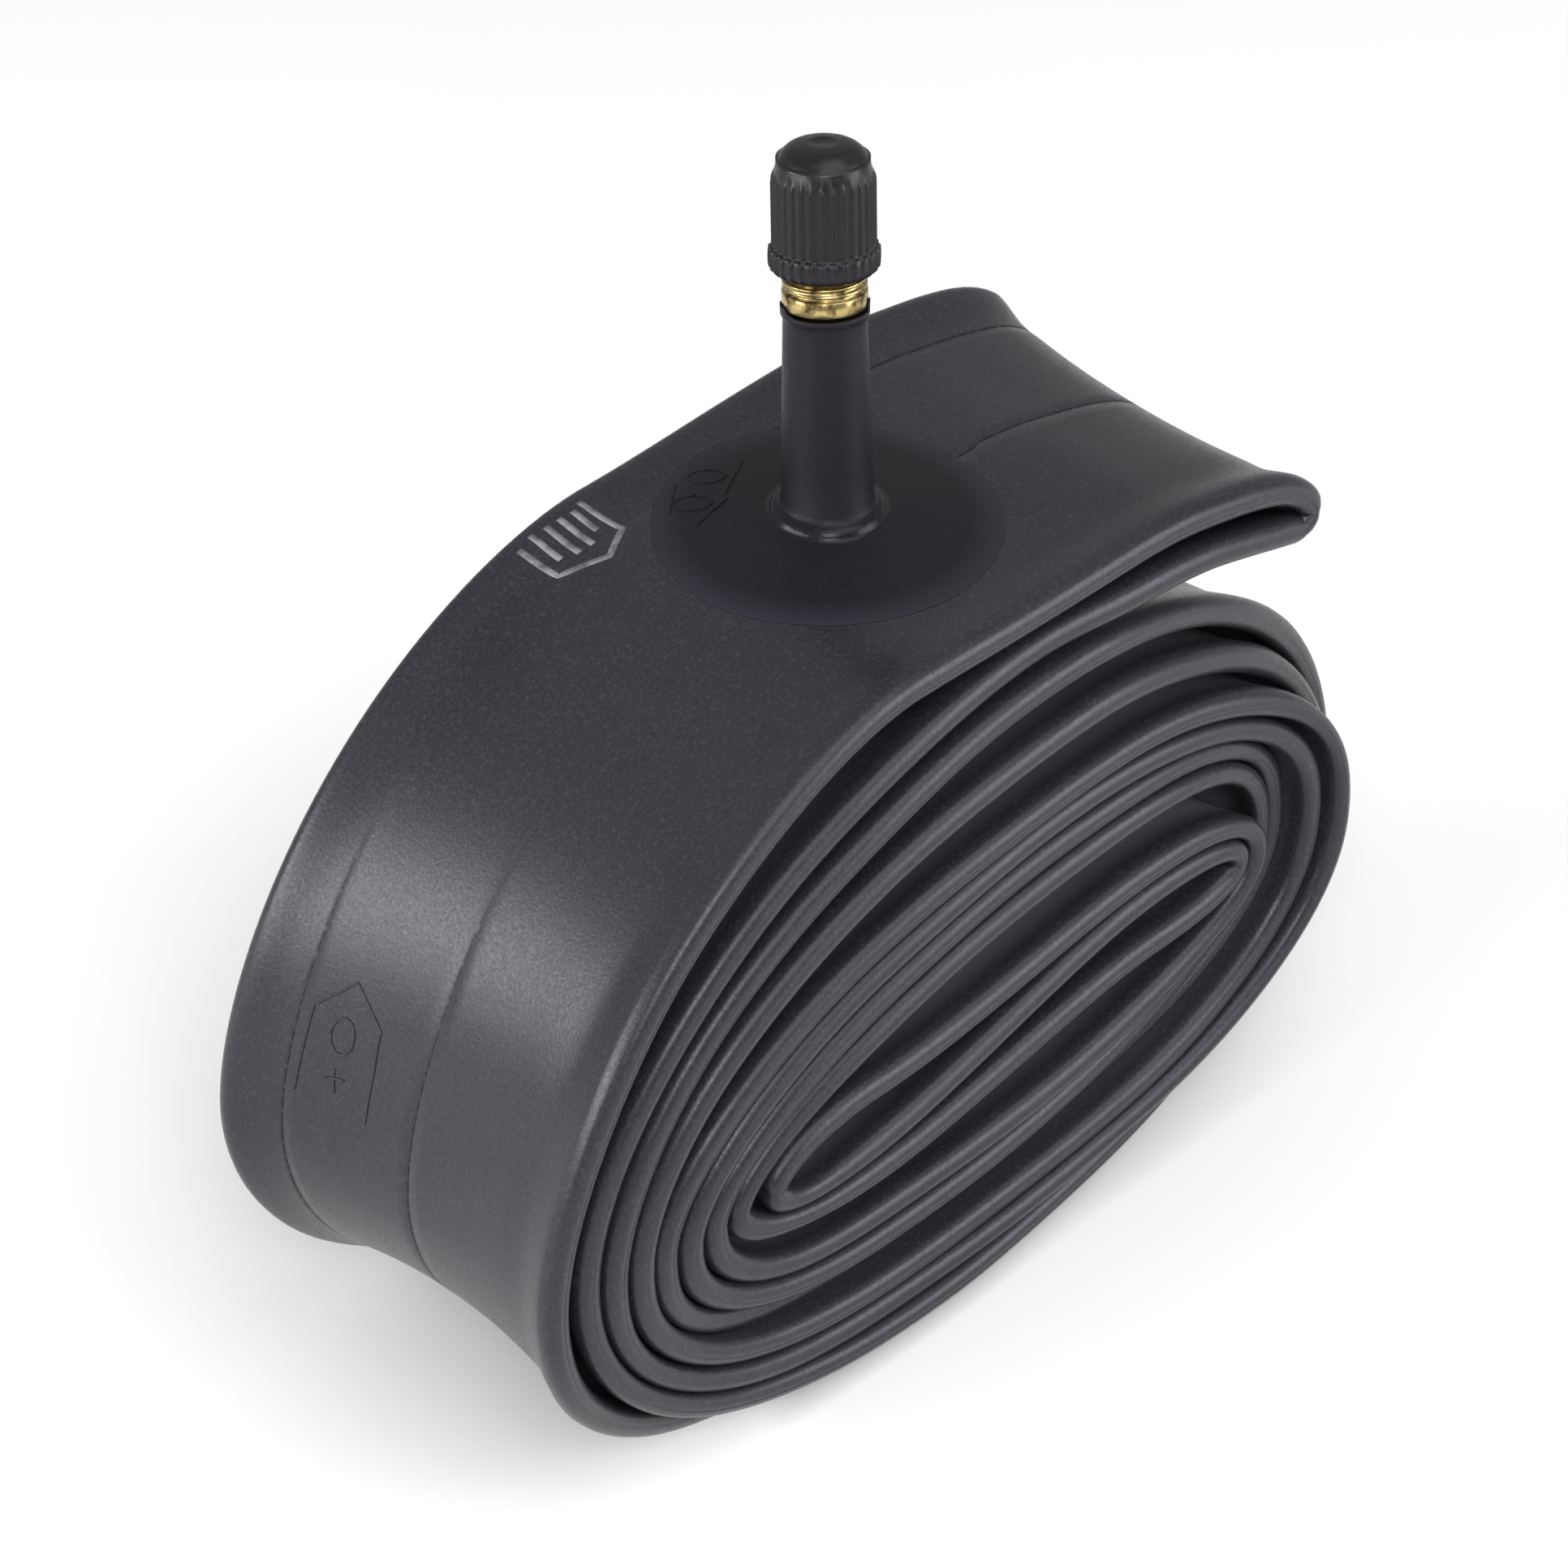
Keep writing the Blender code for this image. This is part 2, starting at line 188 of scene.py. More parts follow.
LOWER_RUN = (
    ("V", -27.6, 30.1, 0, 0.0, 0.4),
    ("H", -20.8, 27.2, 2.10, 0.0, 0.9),
    ("H", 26.2, 35.6, 0, 0.0, 0.3),
    ("V", 36.2, 32.5, 2.30, 0.0, 0.6),
    ("H", 24.2, 29.3, 2.30, 0.0, 1.2),
    ("H", -13.8, 24.5, 0, 0.0, 0.5),
    ("V", -31.8, 29.9, 2.30, 0.5, 0.9),
    ("H", 20.2, 46.1, 1.65, 0.0, 0.2),
    ("V", 41.6, 31.9, 2.25, 2.2, 0.7),
    ("H", -9.8, 15.6, 2.05, 0.3, 1.1),
    ("V", -38.1, 29.9, 2.30, 0.2, 0.6),
    ("H", 16.2, 51.9, 1.85, 0.2, 0.1),
    ("V", 47.0, 31.9, 2.20, 0.0, 0.8),
    ("H", -8.8, 9.6, 2.25, 0.3, 1.2),
    ("V", -44.4, 30.9, 2.25, 0.2, 0.4),
    ("H", 14.2, 61.7, 1.95, 0.0, 0.9),
    ("V", 52.7, 31.9, 1.85, 4.0, 0.5),
    ("H", -10.8, 3.8, 2.30, 0.0, 0.2),
    ("V", -50.7, 31.9, 2.10, 0.6, 0.8),
    ("H", 8.2, 72.1, 1.85, 0.8, 0.9),
    ("H", 22.2, 72.0, 0, 0.0, 0.5),
)
# The free fold at the roll's outer end, from the upper run round to the lower one.
TONGUE = (
    (26.0, 76.5),
    (31.0, 75.6),
    (35.4, 74.6),
    (39.4, 73.2),
    (42.4, 71.2),
    (43.5, 69.2),
    (42.3, 67.9),
    (39.8, 68.4),
    (35.2, 69.7),
    (29.2, 71.2),
)
KNOT_STEPS = 160
FOLD_STEPS = 24
FOLD_NEAR_IN, FOLD_FAR_IN = 0.0, 0.5


def run_points(knots):
    """The x, z and set-ins of one run, from the inner fold outwards."""
    points = []
    for knot, next_knot in zip(knots, knots[1:]):
        kind, x, z = knot[:3]
        next_kind, next_x, next_z, fullness = next_knot[:4]
        for step in range(KNOT_STEPS):
            part = step / KNOT_STEPS
            ease = part * part * (3 - 2 * part)
            near_in = knot[4] + (next_knot[4] - knot[4]) * ease
            far_in = knot[5] + (next_knot[5] - knot[5]) * ease
            if kind == next_kind:
                points.append((x + (next_x - x) * part, z + (next_z - z) * ease, near_in, far_in))
                continue
            grow = math.sin(part * math.pi / 2) ** (2 / fullness)
            fade = math.cos(part * math.pi / 2) ** (2 / fullness)
            if kind == "H":
                points.append((x + (next_x - x) * grow, next_z + (z - next_z) * fade, near_in, far_in))
            else:
                points.append((next_x + (x - next_x) * fade, z + (next_z - z) * grow, near_in, far_in))
    last = knots[-1]
    points.append((last[1], last[2], last[4], last[5]))
    return points


def smooth_through(points, before, after):
    """Catmull-Rom points through a list, which leave its neighbours in line."""
    line = [before, *points, after]
    found = []
    for first, second, third, fourth in zip(line, line[1:], line[2:], line[3:]):
        for step in range(FOLD_STEPS):
            t = step / FOLD_STEPS
            x, z = (
                (2 * b + (c - a) * t + (2 * a - 5 * b + 4 * c - d) * t**2 + (3 * b - a - 3 * c + d) * t**3)
                / 2
                for a, b, c, d in zip(first, second, third, fourth)
            )
            found.append((x, z, FOLD_NEAR_IN, FOLD_FAR_IN))
    return found


outward = run_points(UPPER_RUN)
inward = run_points(LOWER_RUN)[::-1]
fold_points = [outward[-1][:2], *TONGUE, inward[0][:2]]
before_fold, after_fold = outward[-2 * FOLD_STEPS][:2], inward[2 * FOLD_STEPS][:2]
dense = outward[:-1] + smooth_through(fold_points, before_fold, after_fold) + inward[:-1]
# The free end of the roll reaches from one level stretch, round the free fold, to the other.
free_end = range(len(outward) - KNOT_STEPS, len(dense) - len(inward) + 1 + KNOT_STEPS)

# The loop is cut into stations, closer together where it turns more sharply. The free end skews to the
# right between two places along it, slowly at first.
STATION_STEP = 1.9
STATION_TURN = math.radians(7.0)
WINDOW = 3
SKEW_FROM, SKEW_TO = 13.0, 43.0
SKEW_START = 1.5
station_points = []
along = 0.0
cost = 1.0
count = len(dense)
for index, (x, z, near_in, far_in) in enumerate(dense):
    last_x, last_z = dense[index - 1][:2]
    stride = math.hypot(x - last_x, z - last_z) if index else 0.0
    back_x, back_z = dense[index - WINDOW][:2]
    ahead_x, ahead_z = dense[(index + WINDOW) % count][:2]
    heading = math.atan2(ahead_z - back_z, ahead_x - back_x)
    heading_in = math.atan2(z - back_z, x - back_x)
    heading_out = math.atan2(ahead_z - z, ahead_x - x)
    bend = (heading_out - heading_in + math.pi) % (2 * math.pi) - math.pi
    reach = (math.hypot(x - back_x, z - back_z) + math.hypot(ahead_x - x, ahead_z - z)) / 2
    curving = bend / reach
    along += stride
    cost += stride / STATION_STEP + abs(curving) * stride / STATION_TURN
    if cost >= 1.0:
        cost = 0.0
        free = min(max((x - SKEW_FROM) / (SKEW_TO - SKEW_FROM), 0.0), 1.0) if index in free_end else 0.0
        station_points.append(
            {
                "x": x,
                "z": z,
                "near_in": near_in,
                "far_in": far_in,
                "heading": heading,
                "curving": curving,
                "along": along,
                "free": free**SKEW_START,
            }
        )
loop_length = along

# Each station's room: half the distance to the next turn of the roll, less a film of air, and no more
# than its own bend allows. It limits how fat the lips and walls are there.
FREE_ROOM = 3.2
SAME_TURN = 9.0
AIR_FILM = 0.04
BEND_FILL = 0.8
STRAIGHT = 0.01
EVENING_PASSES = 6
LIP = 1.5
WALLS = 0.95
nearby = kdtree.KDTree(len(station_points))
for index, here in enumerate(station_points):
    nearby.insert((here["x"], 0.0, here["z"]), index)
nearby.balance()
for here in station_points:
    room_here = FREE_ROOM
    for _, index, distance in nearby.find_range((here["x"], 0.0, here["z"]), FREE_ROOM):
        apart = abs(station_points[index]["along"] - here["along"])
        if min(apart, loop_length - apart) > SAME_TURN:
            room_here = min(room_here, distance)
    bend_room = BEND_FILL / max(abs(here["curving"]), STRAIGHT)
    here["room"] = min(room_here / 2 - AIR_FILM, bend_room)
for _ in range(EVENING_PASSES):
    rooms = [here["room"] for here in station_points]
    for index, here in enumerate(station_points):
        around = (rooms[index - 1] + rooms[index] + rooms[(index + 1) % len(rooms)]) / 3
        here["room"] = min(rooms[index], around)
for here in station_points:
    here["lip"] = min(LIP, here["room"])
    here["wall"] = min(WALLS, here["room"])

# The middle of the band sinks below its lips, because the lips are thicker: most on the outer turns at
# the roll's ends, less towards its crest, and not at all in its core. The seams fade near the valve.
ROLL_X, ROLL_Z = -0.5, 33.0
ROLL_HALF_X, ROLL_HALF_Z = 55.0, 40.0
SINK_SIDES = 3.0
SINK_FALL = 1.5
FLAT_CORE = 0.15
CLEAR_SEAM_X, CLEAR_SEAM_Z = 14.0, 45.0
FADE_OVER_X, FADE_OVER_Z = 6.0, 20.0
SEAM_LOST = 0.75


def seam_strength(here):
    """The seams are all but pressed out beside the valve, and clear on the left bend and the free end."""
    if here["x"] > CLEAR_SEAM_X or here["z"] < CLEAR_SEAM_Z:
        return 1.0
    faded = min((CLEAR_SEAM_X - here["x"]) / FADE_OVER_X, (here["z"] - CLEAR_SEAM_Z) / FADE_OVER_Z, 1.0)
    return 1.0 - SEAM_LOST * faded


def sink(here):
    """How far the band's middle sinks towards the roll's centre, as an x and z move in mm."""
    x, z = (here["x"] - ROLL_X) / ROLL_HALF_X, (here["z"] - ROLL_Z) / ROLL_HALF_Z
    outness = max(math.hypot(x, z), FLAT_CORE)
    rise = max(z / outness, 0.0)
    depth = SINK_SIDES * (1 - rise**SINK_FALL) * (outness - FLAT_CORE) / (1 - FLAT_CORE)
    return -depth * x / outness, -depth * z / outness


# Columns of the skin round the flat tube: the left-hand face from the near lip to the far one, the far
# lip, the other face back, and the near lip. Mould seams run along the left-hand face.
SEAMS = (0.5, 0.87)
SEAM_HALF = 0.005
FACE_COLUMNS = (0.012, 0.03, 0.055, 0.085, 0.12, 0.16, 0.21, 0.27, 0.34, 0.41, 0.46)
BACK_COLUMNS = (0.012, 0.03, 0.055, 0.085, 0.13, 0.2, 0.28, 0.37, 0.46)
LIP_STEPS = 9
CREASE_AT = math.radians(84.0)
CREASE_HALF = math.radians(4.5)
left_face = sorted(
    [*FACE_COLUMNS, *(1 - part for part in FACE_COLUMNS)]
    + [seam + step * SEAM_HALF for seam in SEAMS for step in (-1, 0, 1)]
)
right_face = sorted([*BACK_COLUMNS, *(1 - part for part in BACK_COLUMNS)], reverse=True)
lip_turns = sorted(
    [step / LIP_STEPS * math.pi for step in range(LIP_STEPS + 1)]
    + [CREASE_AT + step * CREASE_HALF for step in (-1.0, 0.0, 1.0)]
)
columns = [("face", 1, part) for part in left_face]
columns += [("far", 1, turn) for turn in lip_turns]
columns += [("face", -1, part) for part in right_face]
columns += [("near", 1, turn) for turn in lip_turns]
# The skin's relief: the seams' grooves, the shoulder from wall to lip and the thin neck beside it, the
# lip's bulge and mould crease, the slow wander of both edges, and the free end's skew and dip.
SEAM_GROOVE = 0.14
SHOULDER = 2.4
NECK_DEPTH, NECK_AT, NECK_WIDTH = 0.12, 4.5, 1.6
LIP_BULGE = 1.05
LIP_CREASE = 0.09
SQUARENESS = 0.82
NEAR_WANDER, NEAR_WAVE = 0.35, 23.0
FAR_WANDER, FAR_WAVE = 0.5, 31.0
FAR_SET_IN = 0.5
SAG_FLATNESS = 2.2
SKEW_NEAR, SKEW_FAR, SKEW_RISE, FREE_DIP = 0.5, 3.2, 0.6, 1.0
SKEW_SPREAD = 0.65
PAPER_GAP = 0.02


def band_point(here, kind, side, value):
    """The skin's point at a station and one of its columns, and how far across the band it lies."""
    lip, wall = here["lip"], here["wall"]
    near_wander = NEAR_WANDER * noise.noise((here["along"] / NEAR_WAVE, 0.0, 3.0))
    far_wander = FAR_WANDER * noise.noise((here["along"] / FAR_WAVE, 5.0, 0.0))
    near = -HALF_WIDTH + here["near_in"] + near_wander + lip
    far = HALF_WIDTH - FAR_SET_IN - here["far_in"] - far_wander - lip
    if kind == "face":
        y = near + (far - near) * value
        edge = min(y - near, far - y)
        height = wall + (lip - wall) * math.exp(-((edge / SHOULDER) ** 2))
        height -= NECK_DEPTH * math.exp(-(((edge - NECK_AT) / NECK_WIDTH) ** 2))
        if side > 0 and value in SEAMS:
            height -= SEAM_GROOVE * seam_strength(here)
        height *= side
    else:
        crease = LIP_CREASE if value == CREASE_AT else 0.0
        swing = LIP_BULGE * lip * math.sin(value) ** SQUARENESS - crease
        y = far + swing if kind == "far" else near - swing
        height = math.copysign(lip * abs(math.cos(value)) ** SQUARENESS, math.cos(value))
        height *= 1 if kind == "far" else -1
    across = min(max((y - near) / (far - near), 0.0), 1.0)
    sag = 1 - abs(2 * across - 1) ** SAG_FLATNESS
    sink_x, sink_z = here["sink"]
    normal_x, normal_z = -math.sin(here["heading"]), math.cos(here["heading"])
    skew_x = here["free"] * (SKEW_NEAR + SKEW_FAR * across**SKEW_SPREAD)
    skew_z = here["free"] * (SKEW_RISE * across - FREE_DIP * sag)
    x = here["x"] + normal_x * height + sink_x * sag + skew_x
    z = here["z"] + normal_z * height + sink_z * sag + skew_z
    return Vector((x * MM, y * MM, max(z, PAPER_GAP) * MM)), across


for here in station_points:
    here["sink"] = sink(here)

band_shape = bmesh.new()
station_mark = band_shape.verts.layers.int.new("station")
along_mark = band_shape.verts.layers.float.new("along")
across_mark = band_shape.verts.layers.float.new("across")
side_mark = band_shape.verts.layers.float.new("side")
# The talc mask also paints fill light: it pales the shaded gaps between the turns.
talc_and_fill_light_mark = band_shape.verts.layers.float.new("talc_and_fill_light")
first_ring = [band_shape.verts.new() for _ in station_points]
for index, corner in enumerate(first_ring):
    corner[station_mark] = index
edges = [band_shape.edges.new(pair) for pair in zip(first_ring, first_ring[1:] + first_ring[:1])]
TALC_AND_FILL_LIMIT, TALC_AND_FILL_FADE = 0.94, 0.08
TALC_AND_FILL_FREE_EDGE = 0.02


def talc_and_fill_light(here, kind, side, value):
    """How much talc and painted fill light lie on the skin there: they stay between the turns, where the
    gaps are shaded, but not on lips or outside.
    """
    if kind != "face":
        return 0.0
    x, z = here["x"] - ROLL_X, here["z"] - ROLL_Z
    outness = math.hypot(x / ROLL_HALF_X, z / ROLL_HALF_Z)
    faces_out = side * (-math.sin(here["heading"]) * x + math.cos(here["heading"]) * z) > 0
    inside = min(max((TALC_AND_FILL_LIMIT - outness) / TALC_AND_FILL_FADE, 0.0), 1.0) if faces_out else 1.0
    off_edge = (min(value, 1 - value) - TALC_AND_FILL_FREE_EDGE) / TALC_AND_FILL_FADE
    return inside * min(max(off_edge, 0.0), 1.0)


def lay_ring(corners, column):
    """Moves one ring of corners to its column, and notes its place along and across the tube."""
    for corner in corners:
        here = station_points[corner[station_mark]]
        corner.co, corner[across_mark] = band_point(here, *column)
        corner[along_mark] = here["along"]
        corner[side_mark] = column[1] * seam_strength(here) if column[0] == "face" else 0.0
        corner[talc_and_fill_light_mark] = talc_and_fill_light(here, *column)


def pull_ring(shape, ring_edges):
    """Extrudes a ring of edges, and gives the new ring's corners and edges."""
    grown = bmesh.ops.extrude_edge_only(shape, edges=ring_edges)["geom"]
    corners = [item for item in grown if isinstance(item, bmesh.types.BMVert)]
    fresh = set(corners)
    lines = [item for item in grown if isinstance(item, bmesh.types.BMEdge) and fresh.issuperset(item.verts)]
    return corners, lines


lay_ring(first_ring, columns[0])
for column in columns[1:] + columns[:1]:
    last_ring, edges = pull_ring(band_shape, edges)
    lay_ring(last_ring, column)
bmesh.ops.remove_doubles(band_shape, verts=first_ring + last_ring, dist=0.0001 * MM)
bmesh.ops.recalc_face_normals(band_shape, faces=band_shape.faces)
skin = BVHTree.FromBMesh(band_shape)


def noise_scale(grain):
    """The scale of a noise whose grains are so many mm wide."""
    return 1 / (grain * MM)


# Moulded butyl rubber: nearly black with a cool satin shine, mottled by a trace of mould powder, so that
# highlights come out soft and grainy. Between the turns it is paler grey, partly talc and partly painted
# fill light for the shaded gaps. The seams show as thin dark broken lines. The powder's real grains are
# finer:
# they are drawn coarse enough to show.
butyl, tree, shader = new_finish(
    "moulded butyl rubber",
    {"IOR": 1.52, "Specular IOR Level": 0.33, "Specular Tint": linear("#f5f5ff")},
)
spot = add_node(tree, "ShaderNodeTexCoord").outputs["Object"]
powder = add_node(
    tree, "ShaderNodeTexNoise", {"Vector": spot, "Scale": noise_scale(0.2941), "Detail": 2.0}
).outputs["Fac"]
cloud = add_node(
    tree, "ShaderNodeTexNoise", {"Vector": spot, "Scale": noise_scale(18.18), "Detail": 3.0}
).outputs["Fac"]
tone = add_node(
    tree,
    "ShaderNodeMix",
    {"Factor": cloud, 6: linear("#1b1b20"), 7: linear("#26262b")},
    data_type="RGBA",
).outputs[2]
flecks = add_node(
    tree, "ShaderNodeTexNoise", {"Vector": spot, "Scale": noise_scale(0.3571), "Detail": 3.0}
).outputs["Fac"]
flecks = add_node(
    tree, "ShaderNodeMapRange", {"Value": flecks, "From Min": 0.5, "From Max": 0.75, "To Max": 0.6}
).outputs[0]
tone = add_node(
    tree, "ShaderNodeMix", {"Factor": flecks, 6: tone, 7: linear("#38383e")}, data_type="RGBA"
).outputs[2]
# Talc and painted fill light: the faces between the turns, which lie in shade, are mixed towards a paler
# grey.
talc_and_fill_light_value = add_node(tree, "ShaderNodeAttribute", attribute_name="talc_and_fill_light").outputs["Fac"]
tone = add_node(
    tree, "ShaderNodeMix", {"Factor": talc_and_fill_light_value, 6: tone, 7: linear("#66656e")}, data_type="RGBA"
).outputs[2]
across_value = add_node(tree, "ShaderNodeAttribute", attribute_name="across").outputs["Fac"]
along_value = add_node(tree, "ShaderNodeAttribute", attribute_name="along").outputs["Fac"]
side_value = add_node(tree, "ShaderNodeAttribute", attribute_name="side").outputs["Fac"]
DASHES_PER_MM = 1.1
dashes = add_node(
    tree,
    "ShaderNodeTexNoise",
    {"W": along_value, "Scale": DASHES_PER_MM, "Detail": 1.0},
    noise_dimensions="1D",
).outputs["Fac"]
dashes = add_node(
    tree,
    "ShaderNodeMapRange",
    {"Value": dashes, "From Min": 0.35, "From Max": 0.5, "To Min": 0.35, "To Max": 1.0},
).outputs[0]
seam_lines = 0.0
for seam in SEAMS:
    away = add_node(tree, "ShaderNodeMath", {0: across_value, 1: seam}, operation="SUBTRACT").outputs[0]
    away = add_node(tree, "ShaderNodeMath", {0: away}, operation="ABSOLUTE").outputs[0]
    line = add_node(
        tree,
        "ShaderNodeMapRange",
        {"Value": away, "From Min": 0.0, "From Max": SEAM_HALF, "To Min": 1.0, "To Max": 0.0},
    ).outputs[0]
    line = add_node(
        tree, "ShaderNodeMath", {0: line, 1: side_value}, operation="MULTIPLY", use_clamp=True
    ).outputs[0]
    seam_lines = add_node(
        tree, "ShaderNodeMath", {0: seam_lines, 1: line}, operation="MAXIMUM"
    ).outputs[0]
seam_lines = add_node(tree, "ShaderNodeMath", {0: seam_lines, 1: dashes}, operation="MULTIPLY").outputs[0]
tone = add_node(
    tree, "ShaderNodeMix", {"Factor": seam_lines, 6: tone, 7: linear("#050506")}, data_type="RGBA"
).outputs[2]
tree.links.new(tone, shader.inputs["Base Color"])
rough = add_node(
    tree,
    "ShaderNodeMapRange",
    {"Value": powder, "From Min": 0.3, "From Max": 0.7, "To Min": 0.27, "To Max": 0.41},
).outputs[0]
rough = add_node(
    tree, "ShaderNodeMath", {0: seam_lines, 1: 0.5, 2: rough}, operation="MULTIPLY_ADD"
).outputs[0]
tree.links.new(rough, shader.inputs["Roughness"])
grain = add_node(
    tree, "ShaderNodeBump", {"Height": powder, "Strength": 0.45, "Distance": 0.04 * MM}
).outputs["Normal"]
tree.links.new(grain, shader.inputs["Normal"])


def finish_piece(name, shape, finish, body, nodes):
    """Makes the object of a shape, gives it its finish and body, and hides the parts it stands in for."""
    mesh = bpy.data.meshes.new(name)
    shape.to_mesh(mesh)
    shape.free()
    mesh.shade_smooth()
    mesh.materials.append(finish)
    piece = bpy.data.objects.new(name, mesh)
    bpy.context.scene.collection.objects.link(piece)
    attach(piece, body)
    if nodes:
        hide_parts(*nodes)
    return piece


finish_piece("tube_band", band_shape, butyl, "root", ["rolled_tube"])

# --- Valve rubber -------------------------------------------------------------------------------------
# The valve's foot is a dark round patch of moulded rubber, cured onto the tube and thin at its edge. Its
# sheath bends back just above the foot and ends in a rough line of flash, where the mould closed on brass.
LEAN = math.radians(10.0)
LEAN_TOWARDS = math.radians(49.0)
crest = Vector((VALVE_X, 0.0, CREST_Z))
lean_across = Vector((-math.sin(LEAN_TOWARDS), math.cos(LEAN_TOWARDS), 0.0))
lean_turn = Matrix.Rotation(LEAN, 4, lean_across)
valve_place = Matrix.Translation(crest) @ lean_turn


def spun(outline, steps):
    """Turns an outline of radius and height in mm round the Z axis. It closes on itself, unless its ends
    lie on the axis.
    """
    shape = bmesh.new()
    corners = [shape.verts.new((radius * MM, 0.0, height * MM)) for radius, height in outline]
    for first, second in zip(corners, corners[1:]):
        shape.edges.new((first, second))
    if outline[0][0] > 0:
        shape.edges.new((corners[-1], corners[0]))
    bmesh.ops.spin(
        shape,
        geom=shape.verts[:] + shape.edges[:],
        cent=(0.0, 0.0, 0.0),
        axis=(0.0, 0.0, 1.0),
        angle=2 * math.pi,
        steps=steps,
        use_merge=True,
    )
    poles = [corner for corner in shape.verts if math.hypot(corner.co.x, corner.co.y) < 0.001 * MM]
    bmesh.ops.remove_doubles(shape, verts=poles, dist=0.001 * MM)
    bmesh.ops.recalc_face_normals(shape, faces=shape.faces)
    return shape


FOOT_TOP = 1.3
SHEATH_TOP = 20.8
SHEATH_RADIUS, SHEATH_FLARE = 3.8, 0.4
SHEATH_INSIDE = 3.1
FOOT_RADIUS = 16.0
# The flash rises above the sheath's end. The sheath bends over its lowest part, inside the bead's radius,
# and the foot settles onto the tube outside it.
FLASH_FROM = 0.08
FLASH_HEIGHT = 2.0
BEND_OVER = 3.5
BEND_RADIUS = 5.2
BEAD_RADIUS = 5.0
SETTLE_OVER = 4.0
foot_outline = [
    (SHEATH_INSIDE, SHEATH_TOP - 0.2),
    (3.3, SHEATH_TOP),
    (3.85, SHEATH_TOP + 0.05),
    (3.92, SHEATH_TOP + 0.1),
    (3.96, SHEATH_TOP + 0.2),
    (4.04, SHEATH_TOP + 0.1),
    (4.0, SHEATH_TOP - 0.3),
    (3.86, SHEATH_TOP - 0.55),
    *((SHEATH_RADIUS + SHEATH_FLARE * step / 12, SHEATH_TOP - 0.9 - 16.0 * step / 12) for step in range(13)),
    (4.22, 3.3),
    (4.26, 2.8),
    (4.36, 2.45),
    (4.56, 2.3),
    (4.84, 2.24),
    (5.08, 2.08),
    (5.24, 1.82),
    (5.36, 1.56),
    (5.6, 1.43),
    (6.2, 1.36),
    (7.5, 1.22),
    (9.0, 1.02),
    (11.0, 0.76),
    (13.0, 0.5),
    (14.6, 0.25),
    (FOOT_RADIUS - 0.5, 0.12),
    (FOOT_RADIUS - 0.1, 0.07),
    (FOOT_RADIUS, 0.05),
    (FOOT_RADIUS - 0.1, 0.03),
    (14.0, 0.03),
    (11.5, 0.03),
    (9.0, 0.03),
    (6.0, 0.03),
    (3.5, 0.3),
    (3.5, 2.2),
    (SHEATH_INSIDE, 2.2),
    *((SHEATH_INSIDE, 3.0 + 16.0 * step / 8) for step in range(9)),
]
valve_shape = spun(foot_outline, 96)
for corner in valve_shape.verts:
    height = corner.co.z / MM
    reach = math.hypot(corner.co.x, corner.co.y) / MM
    if height > SHEATH_TOP + FLASH_FROM:
        turn = math.atan2(corner.co.y, corner.co.x)
        flash = noise.noise((1.7 * math.cos(turn), 1.7 * math.sin(turn), 4.2)) + 0.12
        flash += 0.3 * noise.noise((6.0 * math.cos(turn), 6.0 * math.sin(turn), 1.0))
        corner.co.z += FLASH_HEIGHT * min(max(flash, 0.0), 0.5) * MM
    bent = min(max((height - FOOT_TOP) / BEND_OVER, 0.0), 1.0)
    bent = bent * bent * (3 - 2 * bent) if reach < BEND_RADIUS else 0.0
    corner.co = Matrix.Rotation(LEAN * bent, 3, lean_across) @ corner.co
    if reach > BEAD_RADIUS and height < FOOT_TOP + 0.3:
        above = crest + Vector((corner.co.x, corner.co.y, 10 * MM))
        skin_point = skin.ray_cast(above, Vector((0.0, 0.0, -1.0)))[0]
        settle = min((reach - BEAD_RADIUS) / SETTLE_OVER, 1.0)
        corner.co.z += (skin_point.z - CREST_Z) * settle
    corner.co += crest

# Moulded rubber of a harder, blacker mix: matt with a fine grit, paler at the foot's thin rim, and rubbed
# to a shine on the bead round the sheath.
valve_rubber, tree, shader = new_finish(
    "matt valve rubber",
    {"IOR": 1.5, "Specular IOR Level": 0.18, "Specular Tint": linear("#f3f0ff")},
)
spot = add_node(tree, "ShaderNodeTexCoord").outputs["Object"]
grit = add_node(
    tree, "ShaderNodeTexNoise", {"Vector": spot, "Scale": noise_scale(0.3846), "Detail": 3.0}
).outputs["Fac"]
tone = add_node(
    tree, "ShaderNodeMix", {"Factor": grit, 6: linear("#100f12"), 7: linear("#1b191e")}, data_type="RGBA"
).outputs[2]
flat_spot = add_node(
    tree, "ShaderNodeVectorMath", {0: spot, 1: (1.0, 1.0, 0.0)}, operation="MULTIPLY"
).outputs[0]
reach_out = add_node(
    tree, "ShaderNodeVectorMath", {0: flat_spot, 1: (VALVE_X, 0.0, 0.0)}, operation="DISTANCE"
).outputs["Value"]
rim = add_node(
    tree, "ShaderNodeMapRange", {"Value": reach_out, "From Min": 13.0 * MM, "From Max": 16.2 * MM}
).outputs[0]
tone = add_node(
    tree, "ShaderNodeMix", {"Factor": rim, 6: tone, 7: linear("#26252c")}, data_type="RGBA"
).outputs[2]
height_up = add_node(tree, "ShaderNodeSeparateXYZ", {"Vector": spot}).outputs["Z"]
low_down = add_node(
    tree,
    "ShaderNodeMapRange",
    {"Value": height_up, "From Min": CREST_Z + 2.7 * MM, "From Max": CREST_Z + 2.3 * MM},
).outputs[0]
near_in = add_node(
    tree, "ShaderNodeMapRange", {"Value": reach_out, "From Min": 6.0 * MM, "From Max": 5.5 * MM}
).outputs[0]
rubbed = add_node(tree, "ShaderNodeMath", {0: low_down, 1: near_in}, operation="MULTIPLY").outputs[0]
